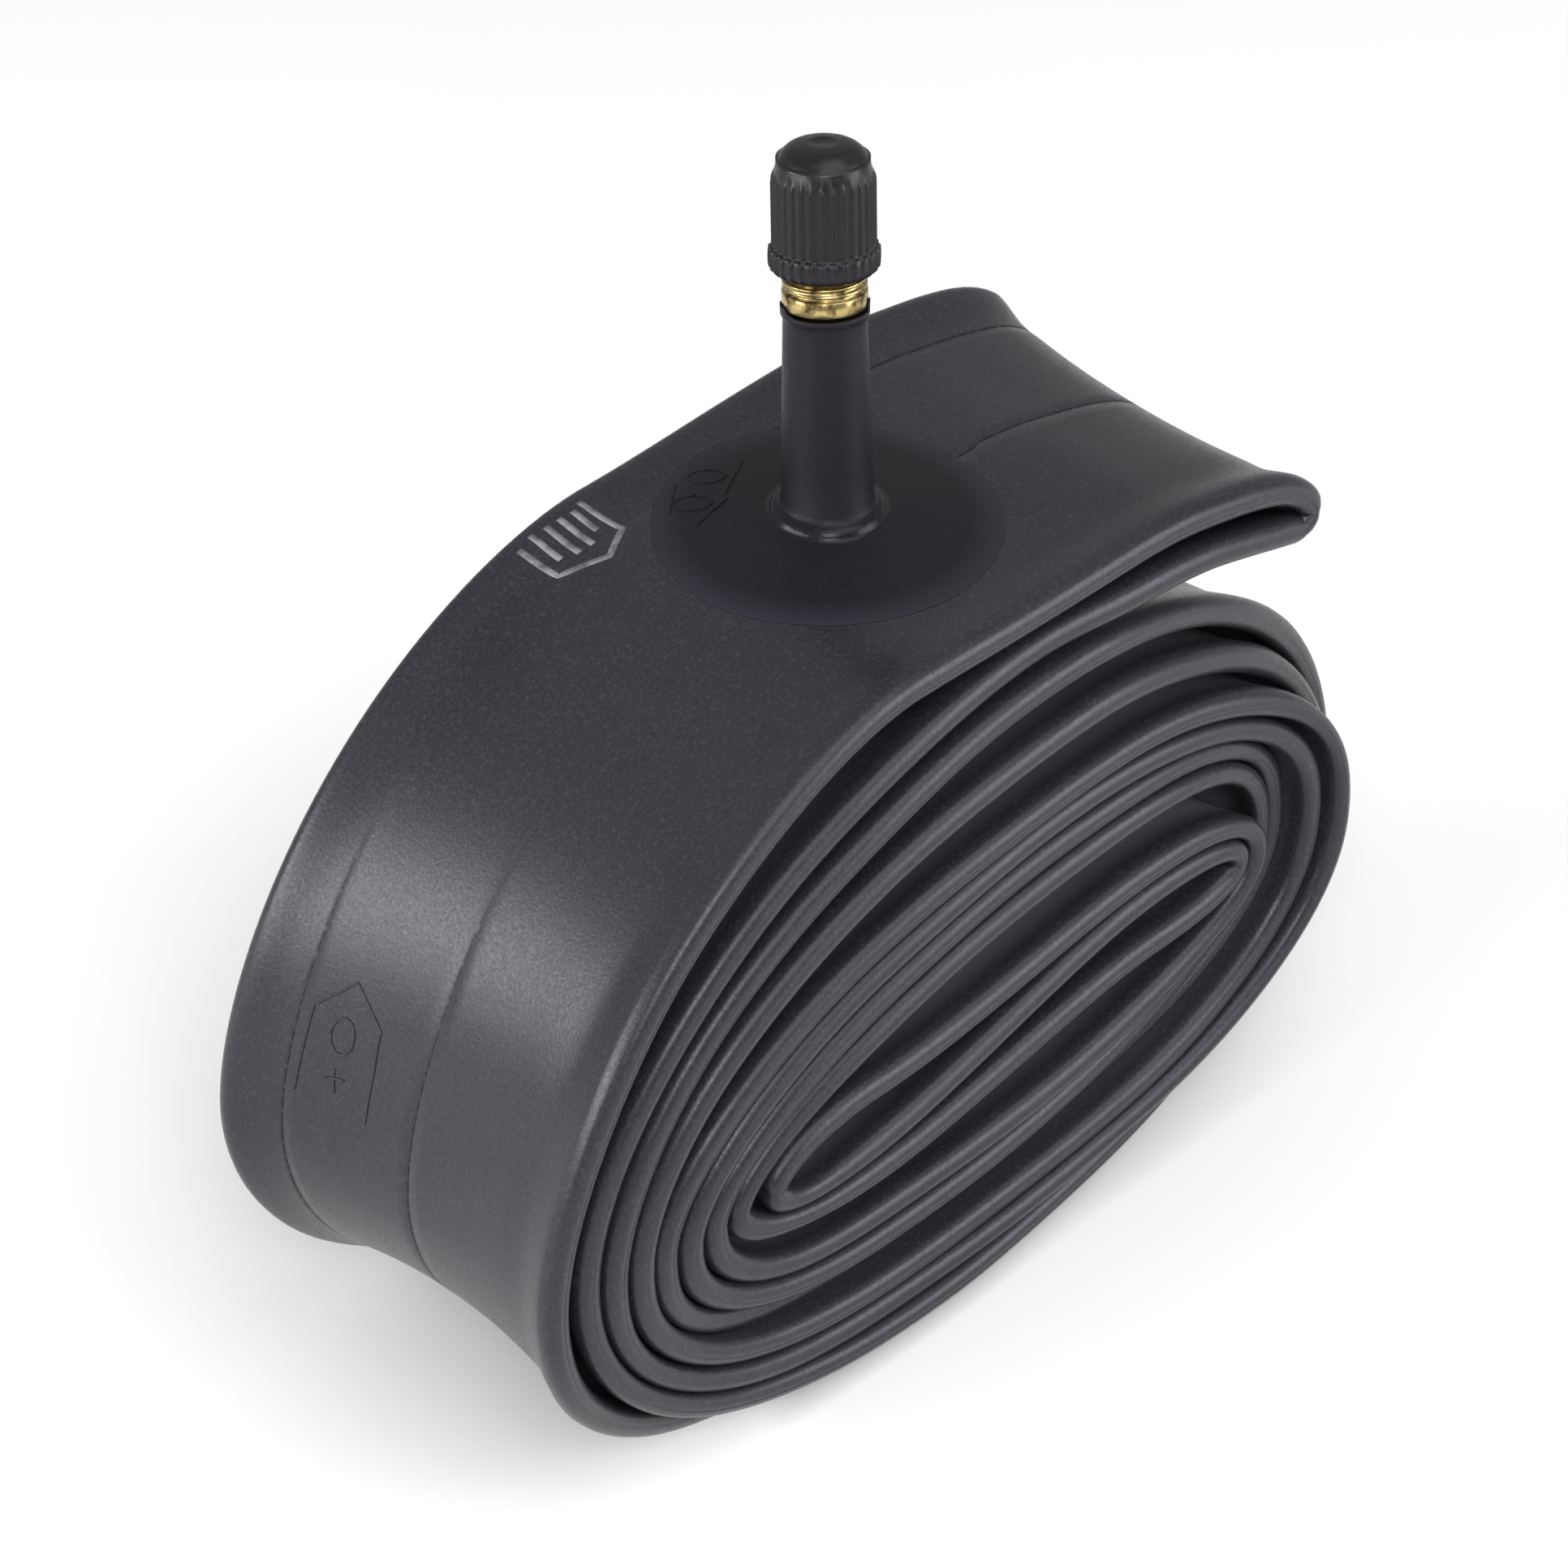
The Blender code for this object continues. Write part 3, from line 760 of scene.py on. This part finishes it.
tree.links.new(tone, shader.inputs["Base Color"])
rough = add_node(
    tree,
    "ShaderNodeMapRange",
    {"Value": grit, "From Min": 0.3, "From Max": 0.7, "To Min": 0.40, "To Max": 0.56},
).outputs[0]
rough = add_node(
    tree, "ShaderNodeMath", {0: rubbed, 1: -0.22, 2: rough}, operation="MULTIPLY_ADD"
).outputs[0]
tree.links.new(rough, shader.inputs["Roughness"])
grain = add_node(
    tree, "ShaderNodeBump", {"Height": grit, "Strength": 0.4, "Distance": 0.03 * MM}
).outputs["Normal"]
tree.links.new(grain, shader.inputs["Normal"])
foot_skin = BVHTree.FromBMesh(valve_shape)
finish_piece("valve_foot_and_sheath", valve_shape, valve_rubber, "root", ["rubber_valve"])

# --- Brass stem ---------------------------------------------------------------------------------------
# A turned brass tube, moulded into the rubber by its headed end. Between the rubber and the cap shows a
# plain bright ring, then the first turns of the thread, 32 to the inch, which runs on up under the cap.
PITCH = 0.79375
THREAD_DEPTH = 0.42
THREAD_RADIUS = 3.85
STEM_TOP = 34.3
THREAD_FROM = 23.2
THREAD_ENDS = 0.6
RING_BOTTOM, RING_RADIUS = 21.2, 3.87
BORE, CORE_BORE = 1.9, 2.65
HEAD_TOP, HEAD_BOTTOM, HEAD_RADIUS = 1.9, 1.0, 3.2
STEM_STEPS = 64
ROW = PITCH / 8
stem_outline = [(3.3, STEM_TOP)]
rows = int((STEM_TOP - 0.35 - THREAD_FROM) / ROW)
stem_outline += [(THREAD_RADIUS - 0.35, STEM_TOP - 0.03), (THREAD_RADIUS - 0.05, STEM_TOP - 0.33)]
stem_outline += [(THREAD_RADIUS, STEM_TOP - 0.35 - ROW * step) for step in range(rows)]
stem_outline += [
    (THREAD_RADIUS - 0.02, THREAD_FROM),
    (THREAD_RADIUS - 0.38, THREAD_FROM - 0.12),
    (THREAD_RADIUS - 0.4, THREAD_FROM - 0.3),
    (THREAD_RADIUS - 0.04, THREAD_FROM - 0.42),
    (RING_RADIUS, THREAD_FROM - 0.5),
    (RING_RADIUS, RING_BOTTOM + 0.15),
    (RING_RADIUS - 0.12, RING_BOTTOM),
    (2.85, RING_BOTTOM),
    (2.8, RING_BOTTOM - 0.1),
    (2.8, HEAD_TOP + 0.05),
    (HEAD_RADIUS, HEAD_TOP),
    (HEAD_RADIUS, HEAD_BOTTOM),
    (BORE, HEAD_BOTTOM),
    (BORE, 24.9),
    (CORE_BORE, 25.7),
    (CORE_BORE, STEM_TOP - 0.25),
    (2.9, STEM_TOP),
]
stem_shape = spun(stem_outline, STEM_STEPS)
for corner in stem_shape.verts:
    height = corner.co.z / MM
    reach = math.hypot(corner.co.x, corner.co.y) / MM
    if reach > 3.4 and THREAD_FROM + 0.05 < height < STEM_TOP - 0.3:
        turn = math.atan2(corner.co.y, corner.co.x) / (2 * math.pi)
        phase = (height / PITCH - turn) % 1.0
        cut = min(max(1.35 * abs(2 * phase - 1) - 0.15, 0.0), 1.0)
        run_in = min((height - THREAD_FROM) / THREAD_ENDS, (STEM_TOP - height) / THREAD_ENDS, 1.0)
        shrink = (reach - THREAD_DEPTH * cut * run_in) / reach
        corner.co.x *= shrink
        corner.co.y *= shrink
stem_shape.transform(valve_place)

# Turned brass: warm yellow, bright on the edges, gone slightly brown in blotches.
brass, tree, shader = new_finish("turned brass", {"Metallic": 1.0})
spot = add_node(tree, "ShaderNodeTexCoord").outputs["Object"]
tarnish = add_node(
    tree, "ShaderNodeTexNoise", {"Vector": spot, "Scale": noise_scale(1.1111), "Detail": 3.0}
).outputs["Fac"]
tarnish = add_node(
    tree, "ShaderNodeMapRange", {"Value": tarnish, "From Min": 0.42, "From Max": 0.66}
).outputs[0]
tone = add_node(
    tree, "ShaderNodeMix", {"Factor": tarnish, 6: linear("#b3a06c"), 7: linear("#453823")}, data_type="RGBA"
).outputs[2]
tree.links.new(tone, shader.inputs["Base Color"])
rough = add_node(
    tree, "ShaderNodeMapRange", {"Value": tarnish, "To Min": 0.22, "To Max": 0.45}
).outputs[0]
tree.links.new(rough, shader.inputs["Roughness"])
finish_piece("threaded_stem", stem_shape, brass, "root", ["brass_stem"])

# --- Dust cap -----------------------------------------------------------------------------------------
# A moulded black plastic cap. Fine ribs for the fingers run from below its rounded crown down over the
# flange at its mouth. The crown carries a faint moulded ring, and a shallow thread runs inside.
CAP_BOTTOM = 24.6
CAP_TOP = 36.5
CAP_CEILING = 35.2
CAP_WALL = 4.4
CAP_INSIDE = 4.2
CAP_RIBS = 30
RIB_HEIGHT = 0.3
RIBS_FROM = 2.4
CAP_THREAD_DEPTH = 0.24
CAP_STEPS = CAP_RIBS * 8
cap_outline = [
    (0.0, CAP_TOP - 0.1),
    (1.0, CAP_TOP - 0.1),
    (1.2, CAP_TOP - 0.02),
    (1.4, CAP_TOP + 0.02),
    (1.6, CAP_TOP - 0.02),
    (2.2, CAP_TOP - 0.06),
    (2.8, CAP_TOP - 0.2),
    (3.3, CAP_TOP - 0.48),
    (3.7, CAP_TOP - 0.86),
    (4.0, CAP_TOP - 1.32),
    (4.2, CAP_TOP - 1.84),
    (4.32, CAP_TOP - 2.4),
    (4.38, CAP_TOP - 2.8),
    *((CAP_WALL, CAP_TOP - 3.0 - 6.5 * step / 20) for step in range(21)),
    (4.44, CAP_BOTTOM + 2.25),
    (4.66, CAP_BOTTOM + 2.15),
    (4.72, CAP_BOTTOM + 2.05),
    (4.74, CAP_BOTTOM + 1.5),
    (4.74, CAP_BOTTOM + 0.9),
    (4.7, CAP_BOTTOM + 0.45),
    (4.56, CAP_BOTTOM + 0.12),
    (4.42, CAP_BOTTOM),
    (4.3, CAP_BOTTOM),
    (CAP_INSIDE, CAP_BOTTOM + 0.1),
    *((CAP_INSIDE, CAP_BOTTOM + 0.3 + ROW * step) for step in range(98)),
    (CAP_INSIDE, CAP_CEILING),
    (0.0, CAP_CEILING),
]
cap_shape = spun(cap_outline, CAP_STEPS)
for corner in cap_shape.verts:
    height = corner.co.z / MM
    reach = math.hypot(corner.co.x, corner.co.y) / MM
    turn = math.atan2(corner.co.y, corner.co.x) / (2 * math.pi)
    grown = reach
    if reach > CAP_WALL - 0.1 and height < CAP_TOP - RIBS_FROM:
        ridge = max(1 - abs(2 * ((turn * CAP_RIBS) % 1.0) - 1) * 2.2, 0.0)
        rise = min(CAP_TOP - RIBS_FROM - height, (height - CAP_BOTTOM) / 0.5, 1.0)
        grown = reach + RIB_HEIGHT * max(rise, 0.0) * ridge
    elif abs(reach - CAP_INSIDE) < 0.05 and CAP_BOTTOM + 0.3 < height < CAP_CEILING - 1.2:
        phase = (height / PITCH - turn + 0.5) % 1.0
        grown = reach - CAP_THREAD_DEPTH * max(1 - abs(2 * phase - 1) * 1.3, 0.0)
    if reach > 0:
        corner.co.x *= grown / reach
        corner.co.y *= grown / reach
cap_shape.transform(valve_place)

# Moulded polyethylene: black and half-glossy, with a faint waxy mottle.
cap_plastic, tree, shader = new_finish("moulded black plastic", {"IOR": 1.5, "Specular IOR Level": 0.24})
spot = add_node(tree, "ShaderNodeTexCoord").outputs["Object"]
mottle = add_node(
    tree, "ShaderNodeTexNoise", {"Vector": spot, "Scale": noise_scale(0.6667), "Detail": 3.0}
).outputs["Fac"]
tone = add_node(
    tree, "ShaderNodeMix", {"Factor": mottle, 6: linear("#121114"), 7: linear("#1e1c20")}, data_type="RGBA"
).outputs[2]
tree.links.new(tone, shader.inputs["Base Color"])
rough = add_node(
    tree,
    "ShaderNodeMapRange",
    {"Value": mottle, "From Min": 0.3, "From Max": 0.7, "To Min": 0.24, "To Max": 0.38},
).outputs[0]
tree.links.new(rough, shader.inputs["Roughness"])
grain = add_node(
    tree, "ShaderNodeBump", {"Height": mottle, "Strength": 0.3, "Distance": 0.03 * MM}
).outputs["Normal"]
tree.links.new(grain, shader.inputs["Normal"])
finish_piece("ribbed_cap", cap_shape, cap_plastic, "cap", ["dust_cap"])

# The cap's sealing washer is a soft black ring, held under the ceiling by the cap's thread. A groove in
# its underside takes the stem's edge.
WASHER_LOW, WASHER_HIGH = 34.6, 34.9
WASHER_HOLE, WASHER_RADIUS = 1.5, 3.8
ROUNDED = 0.06
washer_outline = [
    (WASHER_HOLE, WASHER_LOW + ROUNDED),
    (WASHER_HOLE + ROUNDED, WASHER_LOW),
    (2.4, WASHER_LOW),
    (2.5, WASHER_LOW + ROUNDED),
    (2.9, WASHER_LOW + ROUNDED),
    (3.0, WASHER_LOW),
    (WASHER_RADIUS - 0.08, WASHER_LOW),
    (WASHER_RADIUS, WASHER_LOW + ROUNDED),
    (WASHER_RADIUS, WASHER_HIGH - ROUNDED),
    (WASHER_RADIUS - 0.08, WASHER_HIGH),
    (WASHER_HOLE + ROUNDED, WASHER_HIGH),
    (WASHER_HOLE, WASHER_HIGH - ROUNDED),
]
washer_shape = spun(washer_outline, 64)
washer_shape.transform(valve_place)
finish_piece("cap_washer_ring", washer_shape, valve_rubber, "cap_washer", ["cap_seal"])

# --- Valve core ---------------------------------------------------------------------------------------
# The core screws into the stem by its slotted brass plug. A pin runs down through it to the plunger that
# shuts the valve, and a steel spring round the pin holds that shut. A red washer seals the barrel.
PLUG_PITCH = 0.705
PLUG_TOP, PLUG_BOTTOM = 33.3, 29.7
PLUG_HOLE, PLUG_RADIUS = 0.95, 2.3
PLUG_THREAD_TOP, PLUG_THREAD_DEPTH = 31.8, 0.22
SLOT_SIDE, SLOT_DEPTH = 1.25, 0.9
plug_outline = [(PLUG_HOLE, PLUG_TOP), (1.3, PLUG_TOP)]
plug_outline += [(1.75 + 0.1 * step, PLUG_TOP - 0.02 * step) for step in range(3)]
plug_outline += [(2.05, 32.6), (2.1, 32.0), (2.15, PLUG_THREAD_TOP + 0.1)]
plug_outline += [(PLUG_RADIUS, PLUG_THREAD_TOP - PLUG_PITCH / 8 * step) for step in range(22)]
plug_outline += [(2.1, PLUG_BOTTOM + 0.05), (2.0, PLUG_BOTTOM), (PLUG_HOLE, PLUG_BOTTOM)]
plug_shape = spun(plug_outline, 48)
for corner in plug_shape.verts:
    height = corner.co.z / MM
    reach = math.hypot(corner.co.x, corner.co.y) / MM
    if reach > PLUG_RADIUS - 0.05:
        phase = (height / PLUG_PITCH - math.atan2(corner.co.y, corner.co.x) / (2 * math.pi)) % 1.0
        shrink = (reach - PLUG_THREAD_DEPTH * abs(2 * phase - 1)) / reach
        corner.co.x *= shrink
        corner.co.y *= shrink
    elif height > PLUG_TOP - 0.8 and abs(corner.co.y) > SLOT_SIDE * MM:
        corner.co.z -= SLOT_DEPTH * MM * min((abs(corner.co.y) / MM - SLOT_SIDE) / 0.12, 1.0)
plug_shape.transform(valve_place)
finish_piece("slotted_plug", plug_shape, brass, "root", ["core_plug"])

PIN_TOP, PIN_BOTTOM = 33.6, 22.3
PIN_RADIUS = 0.45
COLLAR_TOP, COLLAR_BOTTOM, COLLAR_RADIUS = 28.9, 28.6, 0.85
pin_outline = [(0.0, PIN_TOP), (0.2, PIN_TOP - 0.03), (0.36, PIN_TOP - 0.12), (PIN_RADIUS, PIN_TOP - 0.28)]
pin_outline += [(PIN_RADIUS, 32.0), (PIN_RADIUS, COLLAR_TOP + 0.05), (0.5, COLLAR_TOP), (0.8, COLLAR_TOP)]
pin_outline += [(COLLAR_RADIUS, COLLAR_TOP - 0.05), (COLLAR_RADIUS, COLLAR_BOTTOM + 0.05)]
pin_outline += [(0.8, COLLAR_BOTTOM), (0.5, COLLAR_BOTTOM), (PIN_RADIUS, COLLAR_BOTTOM - 0.05)]
pin_outline += [(PIN_RADIUS, PIN_BOTTOM + 0.2), (0.35, PIN_BOTTOM + 0.05), (0.0, PIN_BOTTOM)]
pin_shape = spun(pin_outline, 32)
pin_shape.transform(valve_place)
finish_piece("domed_pin", pin_shape, brass, "core_plunger", ["core_pin"])


def swept(shape, path, ups, section):
    """Carries a closed section, of sideways and upward steps in mm, along a path with its own ups."""
    ring = [shape.verts.new((across * MM, rise * MM, 0.0)) for across, rise in section]
    ring_edges = [shape.edges.new(pair) for pair in zip(ring, ring[1:] + ring[:1])]
    bmesh.ops.edgeloop_fill(shape, edges=ring_edges)
    last_stand = Matrix.Identity(4)
    for index, (place, up) in enumerate(zip(path, ups)):
        if index > 0:
            ring, ring_edges = pull_ring(shape, ring_edges)
        ahead = path[min(index + 1, len(path) - 1)] - path[max(index - 1, 0)]
        side = up.cross(ahead).normalized()
        turned = Matrix((side, up, side.cross(up))).transposed().to_4x4()
        stand = Matrix.Translation(place) @ turned
        bmesh.ops.transform(shape, matrix=stand @ last_stand.inverted(), verts=ring)
        last_stand = stand
    bmesh.ops.edgeloop_fill(shape, edges=ring_edges)


COIL_TURNS = 6
COIL_STEPS = 20
COIL_RADIUS = 0.8
COIL_LOW, COIL_HIGH = 25.8, 28.0
WIRE_RADIUS = 0.1
WIRE_SIDES = 8
coil_path = []
for step in range(COIL_TURNS * COIL_STEPS + 1):
    turn = 2 * math.pi * step / COIL_STEPS
    rise = COIL_LOW + (COIL_HIGH - COIL_LOW) * step / (COIL_TURNS * COIL_STEPS)
    coil_path.append(Vector((COIL_RADIUS * math.cos(turn), COIL_RADIUS * math.sin(turn), rise)) * MM)
coil_ups = [Vector((place.x, place.y, 0.0)).normalized() for place in coil_path]
wire_turns = [2 * math.pi * part / WIRE_SIDES for part in range(WIRE_SIDES)]
wire_section = [(WIRE_RADIUS * math.cos(turn), WIRE_RADIUS * math.sin(turn)) for turn in wire_turns]
coil_shape = bmesh.new()
swept(coil_shape, coil_path, coil_ups, wire_section)
bmesh.ops.recalc_face_normals(coil_shape, faces=coil_shape.faces)
coil_shape.transform(valve_place)

# Drawn spring steel: a cool grey, mottled finely by the die.
spring_steel, tree, shader = new_finish("drawn spring steel", {"Metallic": 1.0})
spot = add_node(tree, "ShaderNodeTexCoord").outputs["Object"]
lines = add_node(
    tree, "ShaderNodeTexNoise", {"Vector": spot, "Scale": noise_scale(0.1111), "Detail": 2.0}
).outputs["Fac"]
tone = add_node(
    tree, "ShaderNodeMix", {"Factor": lines, 6: linear("#8d8f94"), 7: linear("#c4c6ca")}, data_type="RGBA"
).outputs[2]
tree.links.new(tone, shader.inputs["Base Color"])
rough = add_node(tree, "ShaderNodeMapRange", {"Value": lines, "To Min": 0.2, "To Max": 0.4}).outputs[0]
tree.links.new(rough, shader.inputs["Roughness"])
coil = finish_piece("plunger_spring", coil_shape, spring_steel, "root", ["core_spring"])
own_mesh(coil)

# The red washer's moulded rubber, with a dusty mottle.
red_rubber, tree, shader = new_finish("red sealing rubber", {"IOR": 1.5})
spot = add_node(tree, "ShaderNodeTexCoord").outputs["Object"]
mottle = add_node(
    tree, "ShaderNodeTexNoise", {"Vector": spot, "Scale": noise_scale(0.4), "Detail": 2.0}
).outputs["Fac"]
tone = add_node(
    tree, "ShaderNodeMix", {"Factor": mottle, 6: linear("#7e1f18"), 7: linear("#a63427")}, data_type="RGBA"
).outputs[2]
tree.links.new(tone, shader.inputs["Base Color"])
rough = add_node(tree, "ShaderNodeMapRange", {"Value": mottle, "To Min": 0.45, "To Max": 0.6}).outputs[0]
tree.links.new(rough, shader.inputs["Roughness"])
for name, finish in (
    ("core_barrel", brass),
    ("core_washer", red_rubber),
    ("seat_seal", valve_rubber),
    ("seat_cup", brass),
):
    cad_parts[name].data.materials[0] = finish

# --- Marks on the tube --------------------------------------------------------------------------------
# The mould leaves thin raised lines in the skin: a pointed frame with a ring in it on the left bend, and
# two rings between lines on the valve's foot. Near the crest is a worn grey stamp: a frame of bars. All
# of them are plain shapes that say nothing.
# Each mark is drawn on a plane off the skin, beyond the left bend or above the crest, and dropped onto it.
MARK_STEP = 0.5
DROP_FROM = 20.0
RING_SIDES = 16
BEND_X = -55.0
ABOVE_Z = 80.0


def laid_on(surface, corners, aim, shape, section):
    """Lays a section along straight runs between corners in mm, dropped onto a skin along aim."""
    path = []
    ups = []
    for first, second in zip(corners, corners[1:]):
        first, second = Vector(first), Vector(second)
        steps = max(int((second - first).length / MARK_STEP), 1)
        for step in range(steps + (second == Vector(corners[-1]))):
            place = first.lerp(second, step / steps) * MM
            found, normal = surface.ray_cast(place - DROP_FROM * MM * aim, aim)[:2]
            path.append(found)
            ups.append(normal if normal.dot(aim) < 0 else -normal)
    swept(shape, path, ups, section)


def ring_corners(middle, first_arm, second_arm):
    """The corners of a ring round a middle, closed on its first."""
    middle, first_arm, second_arm = Vector(middle), Vector(first_arm), Vector(second_arm)
    turns = [2 * math.pi * step / RING_SIDES for step in range(RING_SIDES + 1)]
    return [middle + math.cos(turn) * first_arm + math.sin(turn) * second_arm for turn in turns]


RIDGE = [(-0.13, 0.01), (0.13, 0.01), (0.06, 0.11), (-0.06, 0.11)]
from_left = Vector((1.0, 0.0, 0.0))
from_above = Vector((0.0, 0.0, -1.0))
moulded_shape = bmesh.new()
frame_corners = [
    (BEND_X, 4.6, 37.5),
    (BEND_X, 4.5, 42.5),
    (BEND_X, 4.8, 46.5),
    (BEND_X, 8.6, 49.4),
    (BEND_X, 12.4, 46.0),
    (BEND_X, 12.6, 41.0),
    (BEND_X, 12.8, 37.5),
]
bend_ring = ring_corners((BEND_X, 8.7, 44.4), (0, 1.3, 0), (0, 0, 1.7))
level_bar = [(BEND_X, 7.6, 40.6), (BEND_X, 9.8, 40.0)]
upright_bar = [(BEND_X, 8.9, 41.3), (BEND_X, 8.5, 39.0)]
for corners in (frame_corners, bend_ring, level_bar, upright_bar):
    laid_on(skin, corners, from_left, moulded_shape, RIDGE)
bmesh.ops.recalc_face_normals(moulded_shape, faces=moulded_shape.faces)
finish_piece("moulded_marks", moulded_shape, butyl, "root", [])

foot_marks_shape = bmesh.new()
foot_lines = [
    ring_corners((-4.6, 10.4, ABOVE_Z), (1.0, 0.6, 0), (-0.9, 1.5, 0)),
    ring_corners((-0.6, 12.6, ABOVE_Z), (1.0, 0.6, 0), (-0.9, 1.5, 0)),
    [(-7.0, 7.6, ABOVE_Z), (-2.4, 8.2, ABOVE_Z)],
    [(-2.0, 8.9, ABOVE_Z), (3.2, 11.8, ABOVE_Z)],
    [(-7.2, 10.9, ABOVE_Z), (-3.4, 13.9, ABOVE_Z)],
]
for corners in foot_lines:
    laid_on(foot_skin, corners, from_above, foot_marks_shape, RIDGE)
bmesh.ops.recalc_face_normals(foot_marks_shape, faces=foot_marks_shape.faces)
finish_piece("foot_marks", foot_marks_shape, valve_rubber, "root", [])

STAMP = [(-0.34, 0.01), (0.34, 0.01), (0.34, 0.03), (-0.34, 0.03)]
stamp_shape = bmesh.new()
stamp_lines = [
    [
        (-19.2, 18.0, ABOVE_Z),
        (-18.9, 13.2, ABOVE_Z),
        (-14.6, 11.0, ABOVE_Z),
        (-11.2, 12.8, ABOVE_Z),
        (-11.6, 18.0, ABOVE_Z),
    ],
    [(-17.4, 14.4, ABOVE_Z), (-17.4, 18.4, ABOVE_Z)],
    [(-15.8, 13.6, ABOVE_Z), (-15.8, 18.0, ABOVE_Z)],
    [(-14.3, 13.4, ABOVE_Z), (-14.3, 17.8, ABOVE_Z)],
    [(-12.8, 14.4, ABOVE_Z), (-12.8, 17.6, ABOVE_Z)],
]
for corners in stamp_lines:
    laid_on(skin, corners, from_above, stamp_shape, STAMP)
bmesh.ops.recalc_face_normals(stamp_shape, faces=stamp_shape.faces)

# Grey stamping ink, worn through to the black rubber in patches.
ink, tree, shader = new_finish("worn grey stamping ink", {"IOR": 1.5, "Specular IOR Level": 0.3})
spot = add_node(tree, "ShaderNodeTexCoord").outputs["Object"]
wear = add_node(
    tree, "ShaderNodeTexNoise", {"Vector": spot, "Scale": noise_scale(1.4286), "Detail": 4.0}
).outputs["Fac"]
wear = add_node(tree, "ShaderNodeMapRange", {"Value": wear, "From Min": 0.4, "From Max": 0.75}).outputs[0]
tone = add_node(
    tree, "ShaderNodeMix", {"Factor": wear, 6: linear("#75777a"), 7: linear("#34343a")}, data_type="RGBA"
).outputs[2]
tree.links.new(tone, shader.inputs["Base Color"])
rough = add_node(tree, "ShaderNodeMapRange", {"Value": wear, "To Min": 0.6, "To Max": 0.45}).outputs[0]
tree.links.new(rough, shader.inputs["Roughness"])
finish_piece("grey_stamp", stamp_shape, ink, "root", [])
